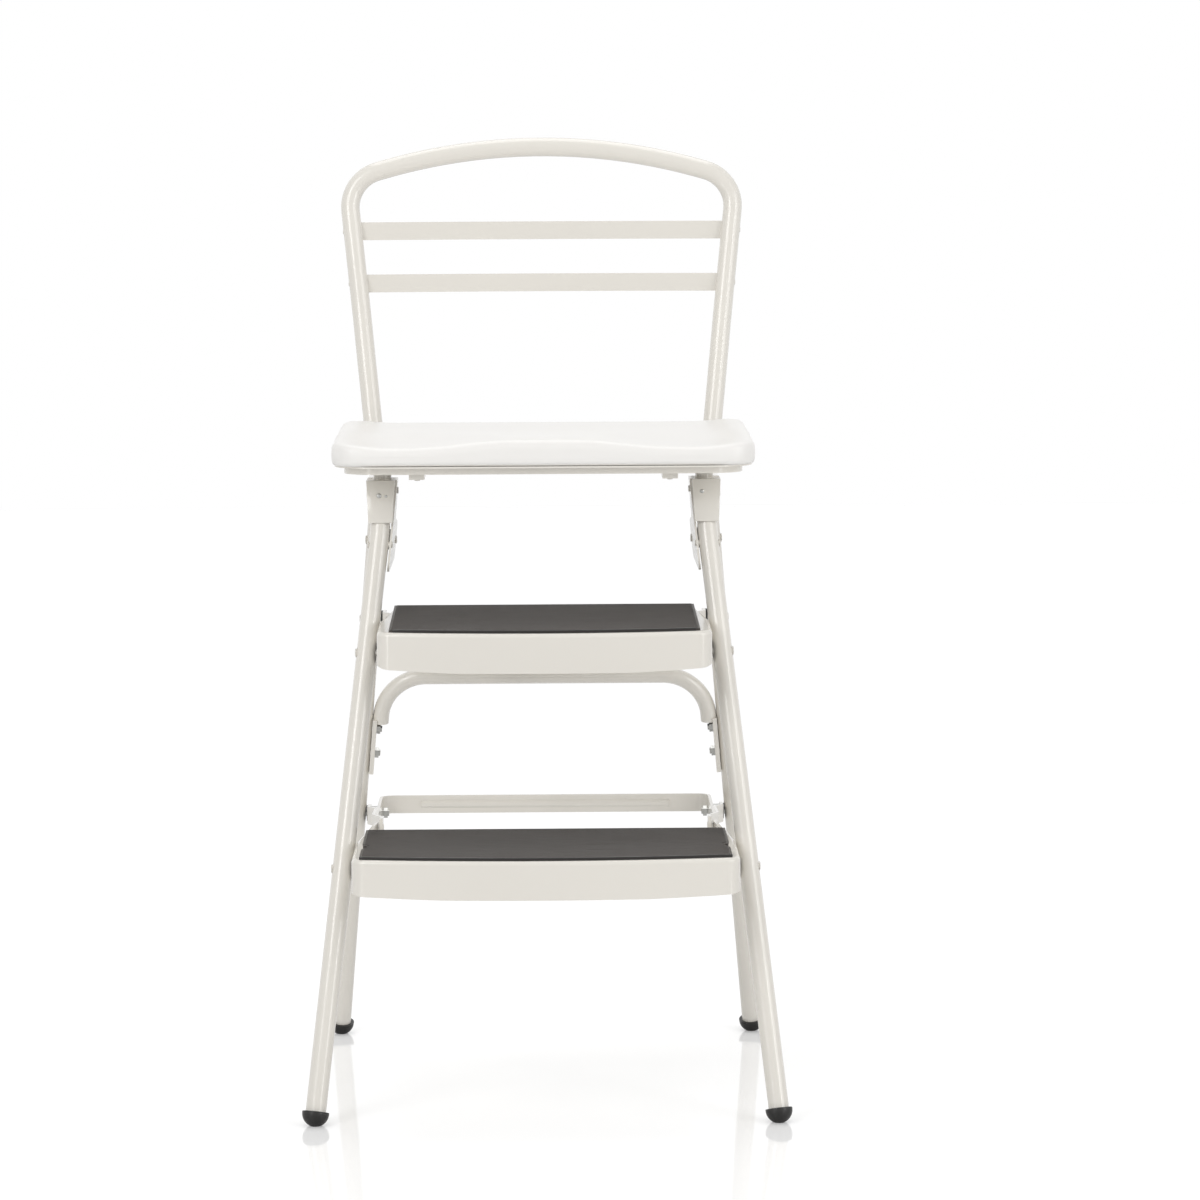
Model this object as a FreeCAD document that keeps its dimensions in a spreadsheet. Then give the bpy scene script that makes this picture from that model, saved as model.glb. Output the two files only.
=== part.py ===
import FreeCAD, Part
import Sketcher
import math
import os

# Folding step stool chair: two tube legs in front that carry two steps, a rear
# frame that swings forward to fold, a lifting seat and a tube backrest.
# Millimetres, +Z up, the front faces -Y, +X is the right side seen from the front.

Vec = FreeCAD.Vector
os.makedirs("parts", exist_ok=True)
doc = FreeCAD.newDocument("step_stool")
sheet = doc.addObject("Spreadsheet::Sheet", "sizes")

SIZES = {
    "leg_dia": 19.05,
    "leg_wall": 1.2,
    "front_foot_x": 216.4,
    "front_foot_y": -204.0,
    "front_splay": 0.1119,
    "front_lean": 0.303,
    "leg_knee_z": 540.0,
    "rail_z": 576.0,
    "rail_front_x": 155.6,
    "rail_end_x": 164.0,
    "rail_end_y": 150.0,
    "leg_bend_radius": 38.0,
    "knee_bend_radius": 130.0,
    "rear_foot_x": 211.6,
    "rear_foot_y": 224.0,
    "rear_splay": 0.0898,
    "rear_lean": 0.25,
    "rear_top_z": 541.0,
    "foot_dia": 25.2,
    "foot_centre_z": 11.6,
    "foot_collar": 1.2,
    "foot_grip": 6.5,
    "back_dia": 19.0,
    "back_plug_dia": 16.0,
    "back_plug_length": 26.0,
    "back_plug_lap": 3.0,
    "back_low_x": 164.7,
    "back_low_y": 187.5,
    "back_mid_x": 182.5,
    "back_mid_y": 222.8,
    "back_mid_z": 740.0,
    "back_corner_x": 196.5,
    "back_corner_y": 243.9,
    "back_corner_z": 872.0,
    "back_crown_y": 250.0,
    "back_crown_z": 927.9,
    "back_low_radius": 30.0,
    "back_mid_radius": 400.0,
    "back_corner_radius": 37.5,
    "back_crown_radius": 583.0,
    "slat_height": 18.0,
    "slat_thickness": 2.0,
    "slat_bow": 17.0,
    "slat_half": 186.0,
    "slat_high_y": 238.0,
    "slat_high_z": 820.5,
    "slat_low_y": 228.0,
    "slat_low_z": 768.0,
    "low_pivot_y": -134.0,
    "low_pivot_z": 230.0,
    "high_pivot_y": -75.0,
    "high_pivot_z": 427.0,
    "swing_pivot_y": 94.0,
    "swing_pivot_z": 520.0,
    "low_link_y": 165.0,
    "low_link_z": 237.0,
    "high_link_y": 110.0,
    "high_link_z": 440.0,
    "low_joint_y": -5.2,
    "low_joint_z": 248.5,
    "high_joint_y": -36.7,
    "high_joint_z": 443.0,
    "pivot_dia": 7.9,
    "joint_dia": 6.4,
    "run_gap": 0.05,
    "side_gap": 0.3,
    "rivet_head_dia": 9.4,
    "rivet_head_height": 0.8,
    "head_gap": 0.6,
    "cut_margin": 5.0,
    "sheet": 1.5,
    "low_pan_half": 178.0,
    "low_pan_top": 256.0,
    "low_pan_front": -245.0,
    "low_pan_bow": 15.0,
    "low_pan_rear": -78.0,
    "low_apron_end": 224.0,
    "low_apron_mid": 220.0,
    "low_mat_half": 170.5,
    "high_pan_half": 156.0,
    "high_pan_taper": 0.118,
    "low_pan_taper": 0.085,
    "high_pan_top": 458.3,
    "high_pan_front": -160.0,
    "high_pan_bow": 14.0,
    "high_pan_rear": 12.0,
    "high_apron_end": 426.0,
    "high_apron_mid": 421.0,
    "high_mat_half": 144.6,
    "high_tread_tilt": 2.0,
    "tread_corner": 14.0,
    "tread_edge": 4.0,
    "mat_thickness": 2.6,
    "mat_inset": 5.0,
    "mat_rear_gap": 2.0,
    "mat_plain_rear": 8.0,
    "mat_plain_front": 12.0,
    "mat_plain_side": 6.0,
    "mat_rib_pitch": 6.0,
    "mat_rib_width": 3.0,
    "mat_rib_depth": 0.8,
    "ear_radius": 11.0,
    "ear_round": 8.0,
    "ear_run": 26.0,
    "flange_step": 2.0,
    "apron_step": 4.0,
    "apron_corner": 6.0,
    "pan_bend_gap": 6.0,
    "rear_slot_depth": 12.0,
    "slot_clear": 0.2,
    "arm_lift": 10.8,
    "bar_thickness": 3.0,
    "bar_height": 18.0,
    "high_slot_half": 138.4,
    "low_slot_half": 167.0,
    "arm_height": 11.0,
    "arm_rivet_dia": 5.0,
    "arm_rivet_pitch": 20.0,
    "arm_rivet_inset": 8.0,
    "arm_start_y": -118.0,
    "low_link_rear_x": 178.5,
    "low_link_mid_x": 170.0,
    "low_link_front_x": 160.5,
    "low_link_bend_one": 28.0,
    "low_link_bend_two": 50.0,
    "low_link_bend_three": 2.0,
    "low_link_bend_four": 32.0,
    "high_link_rear_x": 159.2,
    "high_link_front_x": 143.2,
    "high_link_bend_one": 24.0,
    "high_link_bend_two": 60.0,
    "high_link_height": 17.0,
    "crossbar_half": 167.0,
    "crossbar_rear_y": 178.0,
    "crossbar_front_y": 46.0,
    "crossbar_z": 243.5,
    "crossbar_height": 18.0,
    "crossbar_corner": 14.0,
    "crossbar_rib": 2.4,
    "crossbar_rib_end": 42.0,
    "crossbar_rib_foot": 4.5,
    "crossbar_rib_crest": 1.5,
    "crossbar_rib_sink": 0.6,
    "washer_dia": 20.0,
    "spacer_clear": 1.1,
    "bracket_sheet": 2.0,
    "bracket_low_x": 149.6,
    "bracket_low_z": 501.0,
    "bracket_high_x": 141.6,
    "bracket_high_z": 585.6,
    "bracket_ear_x": 168.9,
    "bracket_ear_low": 571.0,
    "bracket_front_y": -58.0,
    "bracket_rear_run": 17.0,
    "bracket_shoulder_y": 34.0,
    "bracket_shoulder_rise": 26.0,
    "bracket_throat_y": -40.0,
    "bracket_throat_rise": 48.0,
    "bracket_front_round": 10.0,
    "bracket_shoulder_round": 16.0,
    "bracket_throat_round": 30.0,
    "brace_dia": 15.9,
    "brace_wall": 1.2,
    "brace_z": 381.2,
    "brace_corner_radius": 46.0,
    "brace_end_z": 282.0,
    "brace_flat_top_z": 338.0,
    "brace_flat_thickness": 4.4,
    "brace_flat_width": 17.0,
    "brace_flat_lap": 4.0,
    "brace_bolt_high_z": 327.0,
    "brace_bolt_low_z": 302.0,
    "bolt_dia": 6.3,
    "nut_across": 9.0,
    "nut_height": 3.8,
    "bolt_tail": 1.6,
    "seat_half": 198.4,
    "seat_front_y": -120.0,
    "seat_rear_y": 151.0,
    "seat_bottom_z": 606.0,
    "seat_top_z": 629.0,
    "seat_pommel_z": 637.0,
    "seat_wall": 3.0,
    "seat_corner": 42.0,
    "seat_rear_corner": 18.0,
    "seat_rim": 6.0,
    "seat_dip_lift": 1.5,
    "seat_thigh_lift": 3.0,
    "seat_thigh_share": 0.35,
    "seat_dip_share": 0.7,
    "tray_inset": 1.5,
    "tray_rear_y": 124.0,
    "tray_rear_corner": 6.0,
    "tray_side_step": 10.4,
    "tray_front_step": 12.0,
    "tray_rear_step": 2.0,
    "tray_deep_corner": 34.0,
    "pan_low_z": 598.0,
    "batten_in": 111.7,
    "batten_out": 126.4,
    "batten_low_z": 592.5,
    "batten_wall": 2.0,
    "batten_front_step": 22.0,
    "batten_rear_step": 12.0,
    "seat_screw_front": 18.0,
    "seat_screw_rear": 22.0,
    "seat_hinge_y": 142.0,
    "seat_hinge_z": 600.0,
    "seat_pin_dia": 6.0,
    "hinge_plate_half": 153.3,
    "hinge_eye": 7.5,
    "hinge_foot_front": 16.0,
    "hinge_foot_rear": 4.0,
    "hinge_foot_drop": 8.0,
    "hinge_neck_front": 9.0,
    "hinge_neck_drop": 8.0,
    "hinge_ear_length": 54.0,
    "hinge_ear_drop": 9.0,
    "pad_dia": 17.0,
    "pad_y": -13.0,
    "saddle_rear_y": 6.0,
    "saddle_front_y": -30.0,
    "saddle_rivet_y": -4.0,
    "saddle_rivet_low_z": 527.0,
    "link_tie_y": 80.0,
    "link_tie_z": 243.0,
    "stud_head": 2.0,
    "stud_cap": 1.0,
    "stud_clear": 0.8,
    "slat_head": 0.4,
    "slat_head_sink": 1.5,
}
for row, (name, value) in enumerate(SIZES.items(), start=1):
    sheet.set("A%d" % row, name)
    sheet.set("B%d" % row, repr(value))
    sheet.setAlias("B%d" % row, name)
doc.recompute()

made = {}


def size(name):
    """Value of one spreadsheet cell."""
    return float(getattr(sheet, name))


def bind(obj, prop, expression):
    """Drive one property from the spreadsheet."""
    obj.setExpression(prop, expression)


def finish(obj, label):
    """Name a finished sub-part and keep it for export."""
    obj.Label = label
    made[label] = obj
    return obj


# Small building blocks


def half_of(expression):
    """Half of a size given as an expression."""
    return "(%s) / 2" % expression


def cylinder(name, radius, height, base, direction):
    """A cylinder from base along direction; radius and height are expressions."""
    obj = doc.addObject("Part::Cylinder", name)
    bind(obj, "Radius", radius)
    bind(obj, "Height", height)
    obj.Placement = FreeCAD.Placement(base, FreeCAD.Rotation(Vec(0, 0, 1), direction))
    return obj


def cone(name, radius, radius_end, height, base, direction):
    """A cone from base along direction."""
    obj = doc.addObject("Part::Cone", name)
    bind(obj, "Radius1", radius)
    bind(obj, "Radius2", radius_end)
    bind(obj, "Height", height)
    obj.Placement = FreeCAD.Placement(base, FreeCAD.Rotation(Vec(0, 0, 1), direction))
    return obj


def box(name, low, high):
    """A box between two corners given as numbers."""
    obj = doc.addObject("Part::Box", name)
    obj.Length = high[0] - low[0]
    obj.Width = high[1] - low[1]
    obj.Height = high[2] - low[2]
    obj.Placement.Base = Vec(*low)
    return obj


def cut(name, base, tool):
    obj = doc.addObject("Part::Cut", name)
    obj.Base = base
    obj.Tool = tool
    return obj


def fuse(name, shapes):
    obj = doc.addObject("Part::MultiFuse", name)
    obj.Shapes = shapes
    obj.Refine = True
    return obj


def common(name, shapes):
    obj = doc.addObject("Part::MultiCommon", name)
    obj.Shapes = shapes
    return obj


def group(label, shapes):
    """Several loose solids that make one node."""
    obj = doc.addObject("Part::Compound", label)
    obj.Links = shapes
    return finish(obj, label)


def bent_path(name, points, radii):
    """A wire through the points with a round bend at each inner point."""
    edges = []
    start = points[0]
    for i in range(1, len(points) - 1):
        corner = points[i]
        back = (points[i - 1] - corner).normalize()
        ahead = (points[i + 1] - corner).normalize()
        half = back.getAngle(ahead) / 2.0
        reach = radii[i - 1] / math.tan(half)
        first = corner + back * reach
        last = corner + ahead * reach
        middle = (back + ahead).normalize()
        centre = corner + middle * (radii[i - 1] / math.sin(half))
        top = centre - middle * radii[i - 1]
        edges.append(Part.makeLine(start, first))
        edges.append(Part.Arc(first, top, last).toShape())
        start = last
    edges.append(Part.makeLine(start, points[-1]))
    wire = doc.addObject("Part::Feature", name)
    wire.Shape = Part.Wire(edges)
    return wire


def swept(name, path, points, radius):
    """A round bar along a path; radius is an expression."""
    ring = doc.addObject("Part::Circle", name + "_ring")
    bind(ring, "Radius", radius)
    direction = (points[1] - points[0]).normalize()
    ring.Placement = FreeCAD.Placement(points[0], FreeCAD.Rotation(Vec(0, 0, 1), direction))
    doc.recompute()
    bar = doc.addObject("Part::Sweep", name)
    bar.Sections = [ring]
    bar.Spine = (path, ["Edge%d" % (i + 1) for i in range(len(path.Shape.Edges))])
    bar.Solid = True
    bar.Frenet = False
    return bar


def tube(name, points, radii, outside, inside):
    """A bent tube; outside and inside radius are expressions."""
    path = bent_path(name + "_path", points, radii)
    outer = swept(name + "_outer", path, points, outside)
    inner = swept(name + "_inner", path, points, inside)
    return cut(name + "_wall", outer, inner), outer


def along(obj_name, base, direction, x_hint):
    """Placement with local Z on direction and local X near x_hint."""
    z_axis = Vec(direction).normalize()
    y_axis = z_axis.cross(x_hint).normalize()
    x_axis = y_axis.cross(z_axis).normalize()
    return FreeCAD.Placement(base, FreeCAD.Rotation(x_axis, y_axis, z_axis, "ZXY"))


def rivet(name, start, end, shank, head, head_height):
    """A rivet between two points with a domed head outside each end."""
    direction = (end - start).normalize()
    bar = doc.addObject("Part::Cylinder", name + "_shank")
    bind(bar, "Radius", half_of(shank))
    bar.Height = (end - start).Length
    turn = FreeCAD.Rotation(Vec(0, 0, 1), direction)
    bar.Placement = FreeCAD.Placement(start, turn)
    crown = "(%s) * 0.31" % head
    first = cone(name + "_head_a", half_of(head), crown, head_height, start, direction * -1)
    last = cone(name + "_head_b", half_of(head), crown, head_height, end, direction)
    return fuse(name, [bar, first, last])


def plain_pin(name, start, end, diameter):
    """A plain round pin between two points."""
    pin = doc.addObject("Part::Cylinder", name)
    bind(pin, "Radius", half_of(diameter))
    pin.Height = (end - start).Length
    pin.Placement = FreeCAD.Placement(start, FreeCAD.Rotation(Vec(0, 0, 1), (end - start).normalize()))
    return pin


def collar(name, start, end, outside, bore):
    """A ring between two points; outside diameter and bore are expressions."""
    direction = (end - start).normalize()
    turn = FreeCAD.Rotation(Vec(0, 0, 1), direction)
    ring = doc.addObject("Part::Cylinder", name + "_disc")
    bind(ring, "Radius", half_of(outside))
    ring.Height = (end - start).Length
    ring.Placement = FreeCAD.Placement(start, turn)
    hole = doc.addObject("Part::Cylinder", name + "_bore")
    bind(hole, "Radius", half_of(bore))
    hole.Height = (end - start).Length + 2
    hole.Placement = FreeCAD.Placement(start - direction, turn)
    return cut(name, ring, hole)


def hexagon(name, start, end, across, bore):
    """A six-sided nut between two points."""
    direction = (end - start).normalize()
    turn = FreeCAD.Rotation(Vec(0, 0, 1), direction)
    nut = doc.addObject("Part::Prism", name + "_body")
    nut.Polygon = 6
    bind(nut, "Circumradius", half_of(across) + " / cos(30)")
    nut.Height = (end - start).Length
    nut.Placement = FreeCAD.Placement(start, turn)
    hole = doc.addObject("Part::Cylinder", name + "_bore")
    bind(hole, "Radius", half_of(bore))
    hole.Height = (end - start).Length + 2
    hole.Placement = FreeCAD.Placement(start - direction, turn)
    return cut(name, nut, hole)


# Sketch based bodies


def new_body(label):
    return doc.addObject("PartDesign::Body", label)


def plane_of(body, role):
    for feature in body.Origin.OriginFeatures:
        if feature.Role == role:
            return feature
    raise ValueError(role)


def new_sketch(body, name, role, offset=0.0):
    """A sketch on one of the body's own origin planes, moved along its normal."""
    sketch = body.newObject("Sketcher::SketchObject", name)
    sketch.AttachmentSupport = [(plane_of(body, role), "")]
    sketch.MapMode = "FlatFace"
    sketch.AttachmentOffset = FreeCAD.Placement(Vec(0, 0, offset), FreeCAD.Rotation())
    return sketch


def draw_loop(sketch, corners):
    """Straight closed loop through 2-D points."""
    count = len(corners)
    for i in range(count):
        a = corners[i]
        b = corners[(i + 1) % count]
        sketch.addGeometry(Part.LineSegment(Vec(a[0], a[1], 0), Vec(b[0], b[1], 0)), False)


def draw_round_loop(sketch, corners, radii):
    """Closed loop through 2-D points with a rounding at each one."""
    count = len(corners)
    ends = []
    for i in range(count):
        corner = Vec(corners[i][0], corners[i][1], 0)
        before = Vec(corners[i - 1][0], corners[i - 1][1], 0)
        after = Vec(corners[(i + 1) % count][0], corners[(i + 1) % count][1], 0)
        if radii[i] <= 0:
            ends.append((corner, corner))
            continue
        back = (before - corner).normalize()
        ahead = (after - corner).normalize()
        half = back.getAngle(ahead) / 2.0
        reach = radii[i] / math.tan(half)
        middle = (back + ahead).normalize()
        centre = corner + middle * (radii[i] / math.sin(half))
        first = corner + back * reach
        last = corner + ahead * reach
        top = centre - middle * radii[i]
        sketch.addGeometry(Part.Arc(first, top, last), False)
        ends.append((first, last))
    for i in range(count):
        a = ends[i][1]
        b = ends[(i + 1) % count][0]
        if a.distanceToPoint(b) > 1e-6:
            sketch.addGeometry(Part.LineSegment(a, b), False)


def pad(body, name, sketch, expression, both_ways=False, backwards=False):
    feature = body.newObject("PartDesign::Pad", name)
    feature.Profile = sketch
    bind(feature, "Length", expression)
    feature.Midplane = both_ways
    feature.Reversed = backwards
    sketch.Visibility = False
    doc.recompute()
    return feature


def pocket(body, name, sketch, expression=None, both_ways=False, backwards=False):
    feature = body.newObject("PartDesign::Pocket", name)
    feature.Profile = sketch
    if expression is None:
        feature.Type = 1
    else:
        bind(feature, "Length", expression)
    feature.Midplane = both_ways
    feature.Reversed = backwards
    sketch.Visibility = False
    before = body.Shape.Volume
    doc.recompute()
    if body.Shape.Volume >= before - 1e-3:
        feature.Reversed = not backwards
        doc.recompute()
    if body.Shape.Volume >= before - 1e-3:
        raise RuntimeError("pocket removes nothing: " + name)
    return feature


def hole_through(body, name, y, z, diameter, low_x, high_x):
    """A round hole along X between two X values; diameter is an expression."""
    sketch = new_sketch(body, name + "_sketch", "YZ_Plane", low_x)
    sketch.addGeometry(Part.Circle(Vec(y, z, 0), Vec(0, 0, 1), 3.0), False)
    sketch.addConstraint(Sketcher.Constraint("Radius", 0, 3.0))
    sketch.setExpression("Constraints[0]", half_of(diameter))
    feature = body.newObject("PartDesign::Pocket", name)
    feature.Profile = sketch
    feature.Length = high_x - low_x
    feature.Reversed = True
    sketch.Visibility = False
    before = body.Shape.Volume
    doc.recompute()
    if body.Shape.Volume >= before - 1e-3:
        feature.Reversed = False
        doc.recompute()
    if body.Shape.Volume >= before - 1e-3:
        raise RuntimeError("hole removes nothing: " + name)
    return feature


# Lines that the legs and rails follow


def front_point(z, side):
    """Point on a front leg's centre line at a height below the knee."""
    x = size("front_foot_x") - size("front_splay") * z
    return Vec(side * x, size("front_foot_y") + size("front_lean") * z, z)


def rear_point(z, side):
    """Point on a rear leg's centre line."""
    x = size("rear_foot_x") - size("rear_splay") * z
    return Vec(side * x, size("rear_foot_y") - size("rear_lean") * z, z)


def front_inner(z):
    """Half distance between the front legs' inner faces at a height."""
    return front_point(z, 1).x - size("leg_dia") / 2 * math.hypot(1, size("front_splay"))


def rear_inner(z):
    """Half distance between the rear legs' inner faces at a height."""
    return rear_point(z, 1).x - size("leg_dia") / 2 * math.hypot(1, size("rear_splay"))


SIDES = (("left", -1), ("right", 1))
RIGHT = Vec(1, 0, 0)
crest_y = size("front_foot_y") + size("front_lean") * size("rail_z")
rail_way = Vec(size("rail_end_x") - size("rail_front_x"), size("rail_end_y") - crest_y, 0).normalize()


def drill(name, x, y, z, diameter):
    """A cutter along X that runs well past one tube or sheet at x."""
    reach = 1.5 * size("leg_dia")
    return plain_pin(name, Vec(x - reach, y, z), Vec(x + reach, y, z), diameter)


# Front legs and their rails

front_way = {side: (front_point(1, side) - front_point(0, side)).normalize() for side in (-1, 1)}
rear_way = {side: (rear_point(1, side) - rear_point(0, side)).normalize() for side in (-1, 1)}
tube_sink = size("foot_grip") - size("foot_collar")

for word, side in SIDES:
    sole = front_point(size("foot_centre_z"), side) - front_way[side] * tube_sink
    knee = front_point(size("leg_knee_z"), side)
    crest = Vec(side * size("rail_front_x"), crest_y, size("rail_z"))
    tail = Vec(side * size("rail_end_x"), size("rail_end_y"), size("rail_z"))
    radii = [size("knee_bend_radius"), size("leg_bend_radius")]
    wall, outer = tube("front_leg_" + word, [sole, knee, crest, tail], radii, "sizes.leg_dia / 2",
                       "sizes.leg_dia / 2 - sizes.leg_wall")
    tie_at = front_point(size("saddle_rivet_low_z"), side)
    holes = []
    for which in ("low", "high"):
        y = size(which + "_pivot_y")
        z = size(which + "_pivot_z")
        holes.append(drill("front_leg_%s_%s" % (which, word), front_point(z, side).x, y, z, "sizes.pivot_dia"))
    holes.append(drill("front_leg_tie_high_" + word, crest.x, size("saddle_rivet_y"), size("rail_z"),
                       "sizes.bolt_dia"))
    holes.append(drill("front_leg_tie_low_" + word, tie_at.x, tie_at.y, tie_at.z, "sizes.bolt_dia"))
    finish(cut("front_leg_cut_" + word, wall, fuse("front_leg_holes_" + word, holes)), "front_leg_" + word)


def foot(label, point, direction):
    """A rubber tip like a shallow bowl, flat where it meets the floor and level at its rim."""
    ball = doc.addObject("Part::Sphere", label + "_ball")
    bind(ball, "Radius", "sizes.foot_dia / 2")
    ball.Placement.Base = point
    sleeve = cylinder(label + "_sleeve", "sizes.foot_dia / 2", "sizes.foot_collar", point, direction)
    dome = fuse(label + "_dome", [ball, sleeve])
    wide = size("foot_dia")
    under = box(label + "_under", (point.x - wide, point.y - wide, -wide), (point.x + wide, point.y + wide, 0))
    above = cylinder(label + "_above", "sizes.foot_dia", "sizes.foot_dia",
                     point + direction * size("foot_collar"), direction)
    flat = cut(label + "_flat", dome, fuse(label + "_trim", [under, above]))
    bore = cylinder(label + "_bore", "sizes.leg_dia / 2", "sizes.foot_dia", point - direction * tube_sink,
                    direction)
    return finish(cut(label + "_tip", flat, bore), label)


for word, side in SIDES:
    foot("front_foot_" + word, front_point(size("foot_centre_z"), side), front_way[side])
    foot("rear_foot_" + word, rear_point(size("foot_centre_z"), side), rear_way[side])

# Backrest tube and slats

back_points = []
plugs = []
for word, side in SIDES:
    way = Vec(side * rail_way.x, rail_way.y, 0)
    joint = Vec(side * size("rail_end_x"), size("rail_end_y"), size("rail_z"))
    rise = [joint, joint + way * (size("back_low_y") - size("rail_end_y"))]
    for part in ("mid", "corner"):
        rise.append(Vec(side * size("back_%s_x" % part), size("back_%s_y" % part), size("back_%s_z" % part)))
    if side < 0:
        back_points += rise + [Vec(0, size("back_crown_y"), size("back_crown_z"))]
    else:
        back_points += rise[::-1]
    plugs.append(collar("back_plug_" + word, joint - way * size("back_plug_length"),
                        joint + way * size("back_plug_lap"), "sizes.back_plug_dia",
                        "sizes.back_plug_dia - 2 * sizes.leg_wall"))
half_radii = [size("back_low_radius"), size("back_mid_radius"), size("back_corner_radius")]
back_wall, back_outer = tube("back_tube", back_points,
                             half_radii + [size("back_crown_radius")] + half_radii[::-1],
                             "sizes.back_dia / 2", "sizes.back_dia / 2 - sizes.leg_wall")
finish(fuse("back_tube_all", [back_wall] + plugs), "back_tube")


def slat(label, y, z):
    """A flat strip bowed to the rear between the uprights."""
    half = size("slat_half")
    bow = size("slat_bow")
    thick = size("slat_thickness")
    low_z = z - size("slat_height") / 2
    outer_arc = Part.Arc(Vec(-half, y, low_z), Vec(0, y + bow, low_z), Vec(half, y, low_z)).toShape()
    inner_arc = Part.Arc(Vec(half, y - thick, low_z), Vec(0, y + bow - thick, low_z),
                         Vec(-half, y - thick, low_z)).toShape()
    end_a = Part.makeLine(Vec(half, y, low_z), Vec(half, y - thick, low_z))
    end_b = Part.makeLine(Vec(-half, y - thick, low_z), Vec(-half, y, low_z))
    face = doc.addObject("Part::Feature", label + "_face")
    face.Shape = Part.Face(Part.Wire([outer_arc, end_a, inner_arc, end_b]))
    strip = doc.addObject("Part::Extrusion", label + "_strip")
    strip.Base = face
    strip.DirMode = "Custom"
    strip.Dir = Vec(0, 0, 1)
    bind(strip, "LengthFwd", "sizes.slat_height")
    strip.Solid = True
    return finish(cut(label + "_trimmed", strip, back_outer), label)


slat("backrest_slat_upper", size("slat_high_y"), size("slat_high_z"))
slat("backrest_slat_lower", size("slat_low_y"), size("slat_low_z"))

# Rear legs

def rear_inward(side):
    """Direction square to a rear leg that points towards the middle."""
    return along("", rear_point(0, side), rear_way[side], RIGHT).Rotation.multVec(RIGHT) * -side


BRACE_BOLTS = (("upper", size("brace_bolt_high_z")), ("lower", size("brace_bolt_low_z")))
half_leg = size("leg_dia") / 2

for word, side in SIDES:
    way = rear_way[side]
    sole = rear_point(size("foot_centre_z"), side) - way * tube_sink
    head = rear_point(size("rear_top_z"), side)
    bar = plain_pin("rear_leg_bar_" + word, sole, head, "sizes.leg_dia")
    bore = plain_pin("rear_leg_bore_" + word, sole - way, head - way * size("cut_margin"),
                     "sizes.leg_dia - 2 * sizes.leg_wall")
    hole_list = []
    for tag, y, z, diameter in (
            ("swing", size("swing_pivot_y"), size("swing_pivot_z"), "sizes.pivot_dia + 2 * sizes.run_gap"),
            ("low", size("low_link_y"), size("low_link_z"), "sizes.joint_dia"),
            ("high", size("high_link_y"), size("high_link_z"), "sizes.joint_dia")):
        hole_list.append(drill("rear_leg_%s_%s" % (tag, word), rear_point(z, side).x, y, z, diameter))
    inward = rear_inward(side) * size("leg_dia")
    for tag, bolt_z in BRACE_BOLTS:
        mid = rear_point(bolt_z, side)
        hole_list.append(plain_pin("rear_leg_bolt_hole_" + tag + "_" + word, mid - inward, mid + inward,
                                   "sizes.bolt_dia"))
    hollow = cut("rear_leg_hollow_" + word, bar, bore)
    finish(cut("rear_leg_cut_" + word, hollow, fuse("rear_leg_holes_" + word, hole_list)), "rear_leg_" + word)

# Arch brace between the rear legs with its bolts and nuts


def brace_point(z, side, inset):
    """Point beside a rear leg, inset from its centre line towards the middle."""
    return rear_point(z, side) + rear_inward(side) * inset


tube_inset = half_leg + size("brace_dia") / 2
flat_inset = half_leg + size("brace_flat_thickness") / 2
lap_z = size("brace_flat_top_z") - size("brace_flat_lap")
brace_points = [
    brace_point(lap_z, -1, tube_inset),
    brace_point(size("brace_z"), -1, tube_inset),
    brace_point(size("brace_z"), 1, tube_inset),
    brace_point(lap_z, 1, tube_inset),
]
corner = size("brace_corner_radius")
brace_wall, brace_outer = tube("arch_brace", brace_points, [corner, corner],
                               "sizes.brace_dia / 2", "sizes.brace_dia / 2 - sizes.brace_wall")
flats = []
bolt_holes = []
bolts = []
nuts = []
for word, side in SIDES:
    low_end = brace_point(size("brace_end_z"), side, flat_inset)
    high_end = brace_point(size("brace_flat_top_z"), side, flat_inset)
    way = (high_end - low_end).normalize()
    strap = doc.addObject("Part::Box", "arch_strap_" + word)
    bind(strap, "Length", "sizes.brace_flat_thickness")
    bind(strap, "Width", "sizes.brace_flat_width")
    strap.Height = (high_end - low_end).Length
    placed = along("", low_end, way, RIGHT)
    shift = placed.Rotation.multVec(Vec(-size("brace_flat_thickness") / 2,
                                        -size("brace_flat_width") / 2, 0))
    strap.Placement = FreeCAD.Placement(low_end + shift, placed.Rotation)
    flats.append(strap)
    inward = rear_inward(side)
    for tag, bolt_z in BRACE_BOLTS:
        mid = rear_point(bolt_z, side)
        face = mid + inward * (half_leg + size("brace_flat_thickness"))
        tip = face + inward * (size("nut_height") + size("bolt_tail"))
        back = mid - inward * half_leg
        name = tag + "_" + word
        bolt_holes.append(plain_pin("arch_hole_" + name, mid, tip, "sizes.bolt_dia"))
        shank = plain_pin("arch_shank_" + name, back, tip, "sizes.bolt_dia")
        dome = cone("arch_head_" + name, "sizes.nut_across / 2", "sizes.nut_across * 0.3",
                    "sizes.rivet_head_height", back, inward * -1)
        bolts.append(fuse("arch_bolt_" + name, [shank, dome]))
        nut_end = face + inward * size("nut_height")
        nuts.append(hexagon("arch_nut_" + name, face, nut_end, "sizes.nut_across", "sizes.bolt_dia"))
brace_solid = fuse("arch_brace_solid", [brace_wall] + flats)
finish(cut("arch_brace_cut", brace_solid, fuse("arch_holes", bolt_holes)), "arch_brace")
group("arch_bolts", bolts)
group("arch_nuts", nuts)

# Steps: a pressed pan with a bowed front apron and side flanges, and a ribbed mat

ARM_RIVETS_Y = [size("arm_start_y") + size("arm_rivet_inset") + number * size("arm_rivet_pitch")
                for number in (0, 1)]


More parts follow.
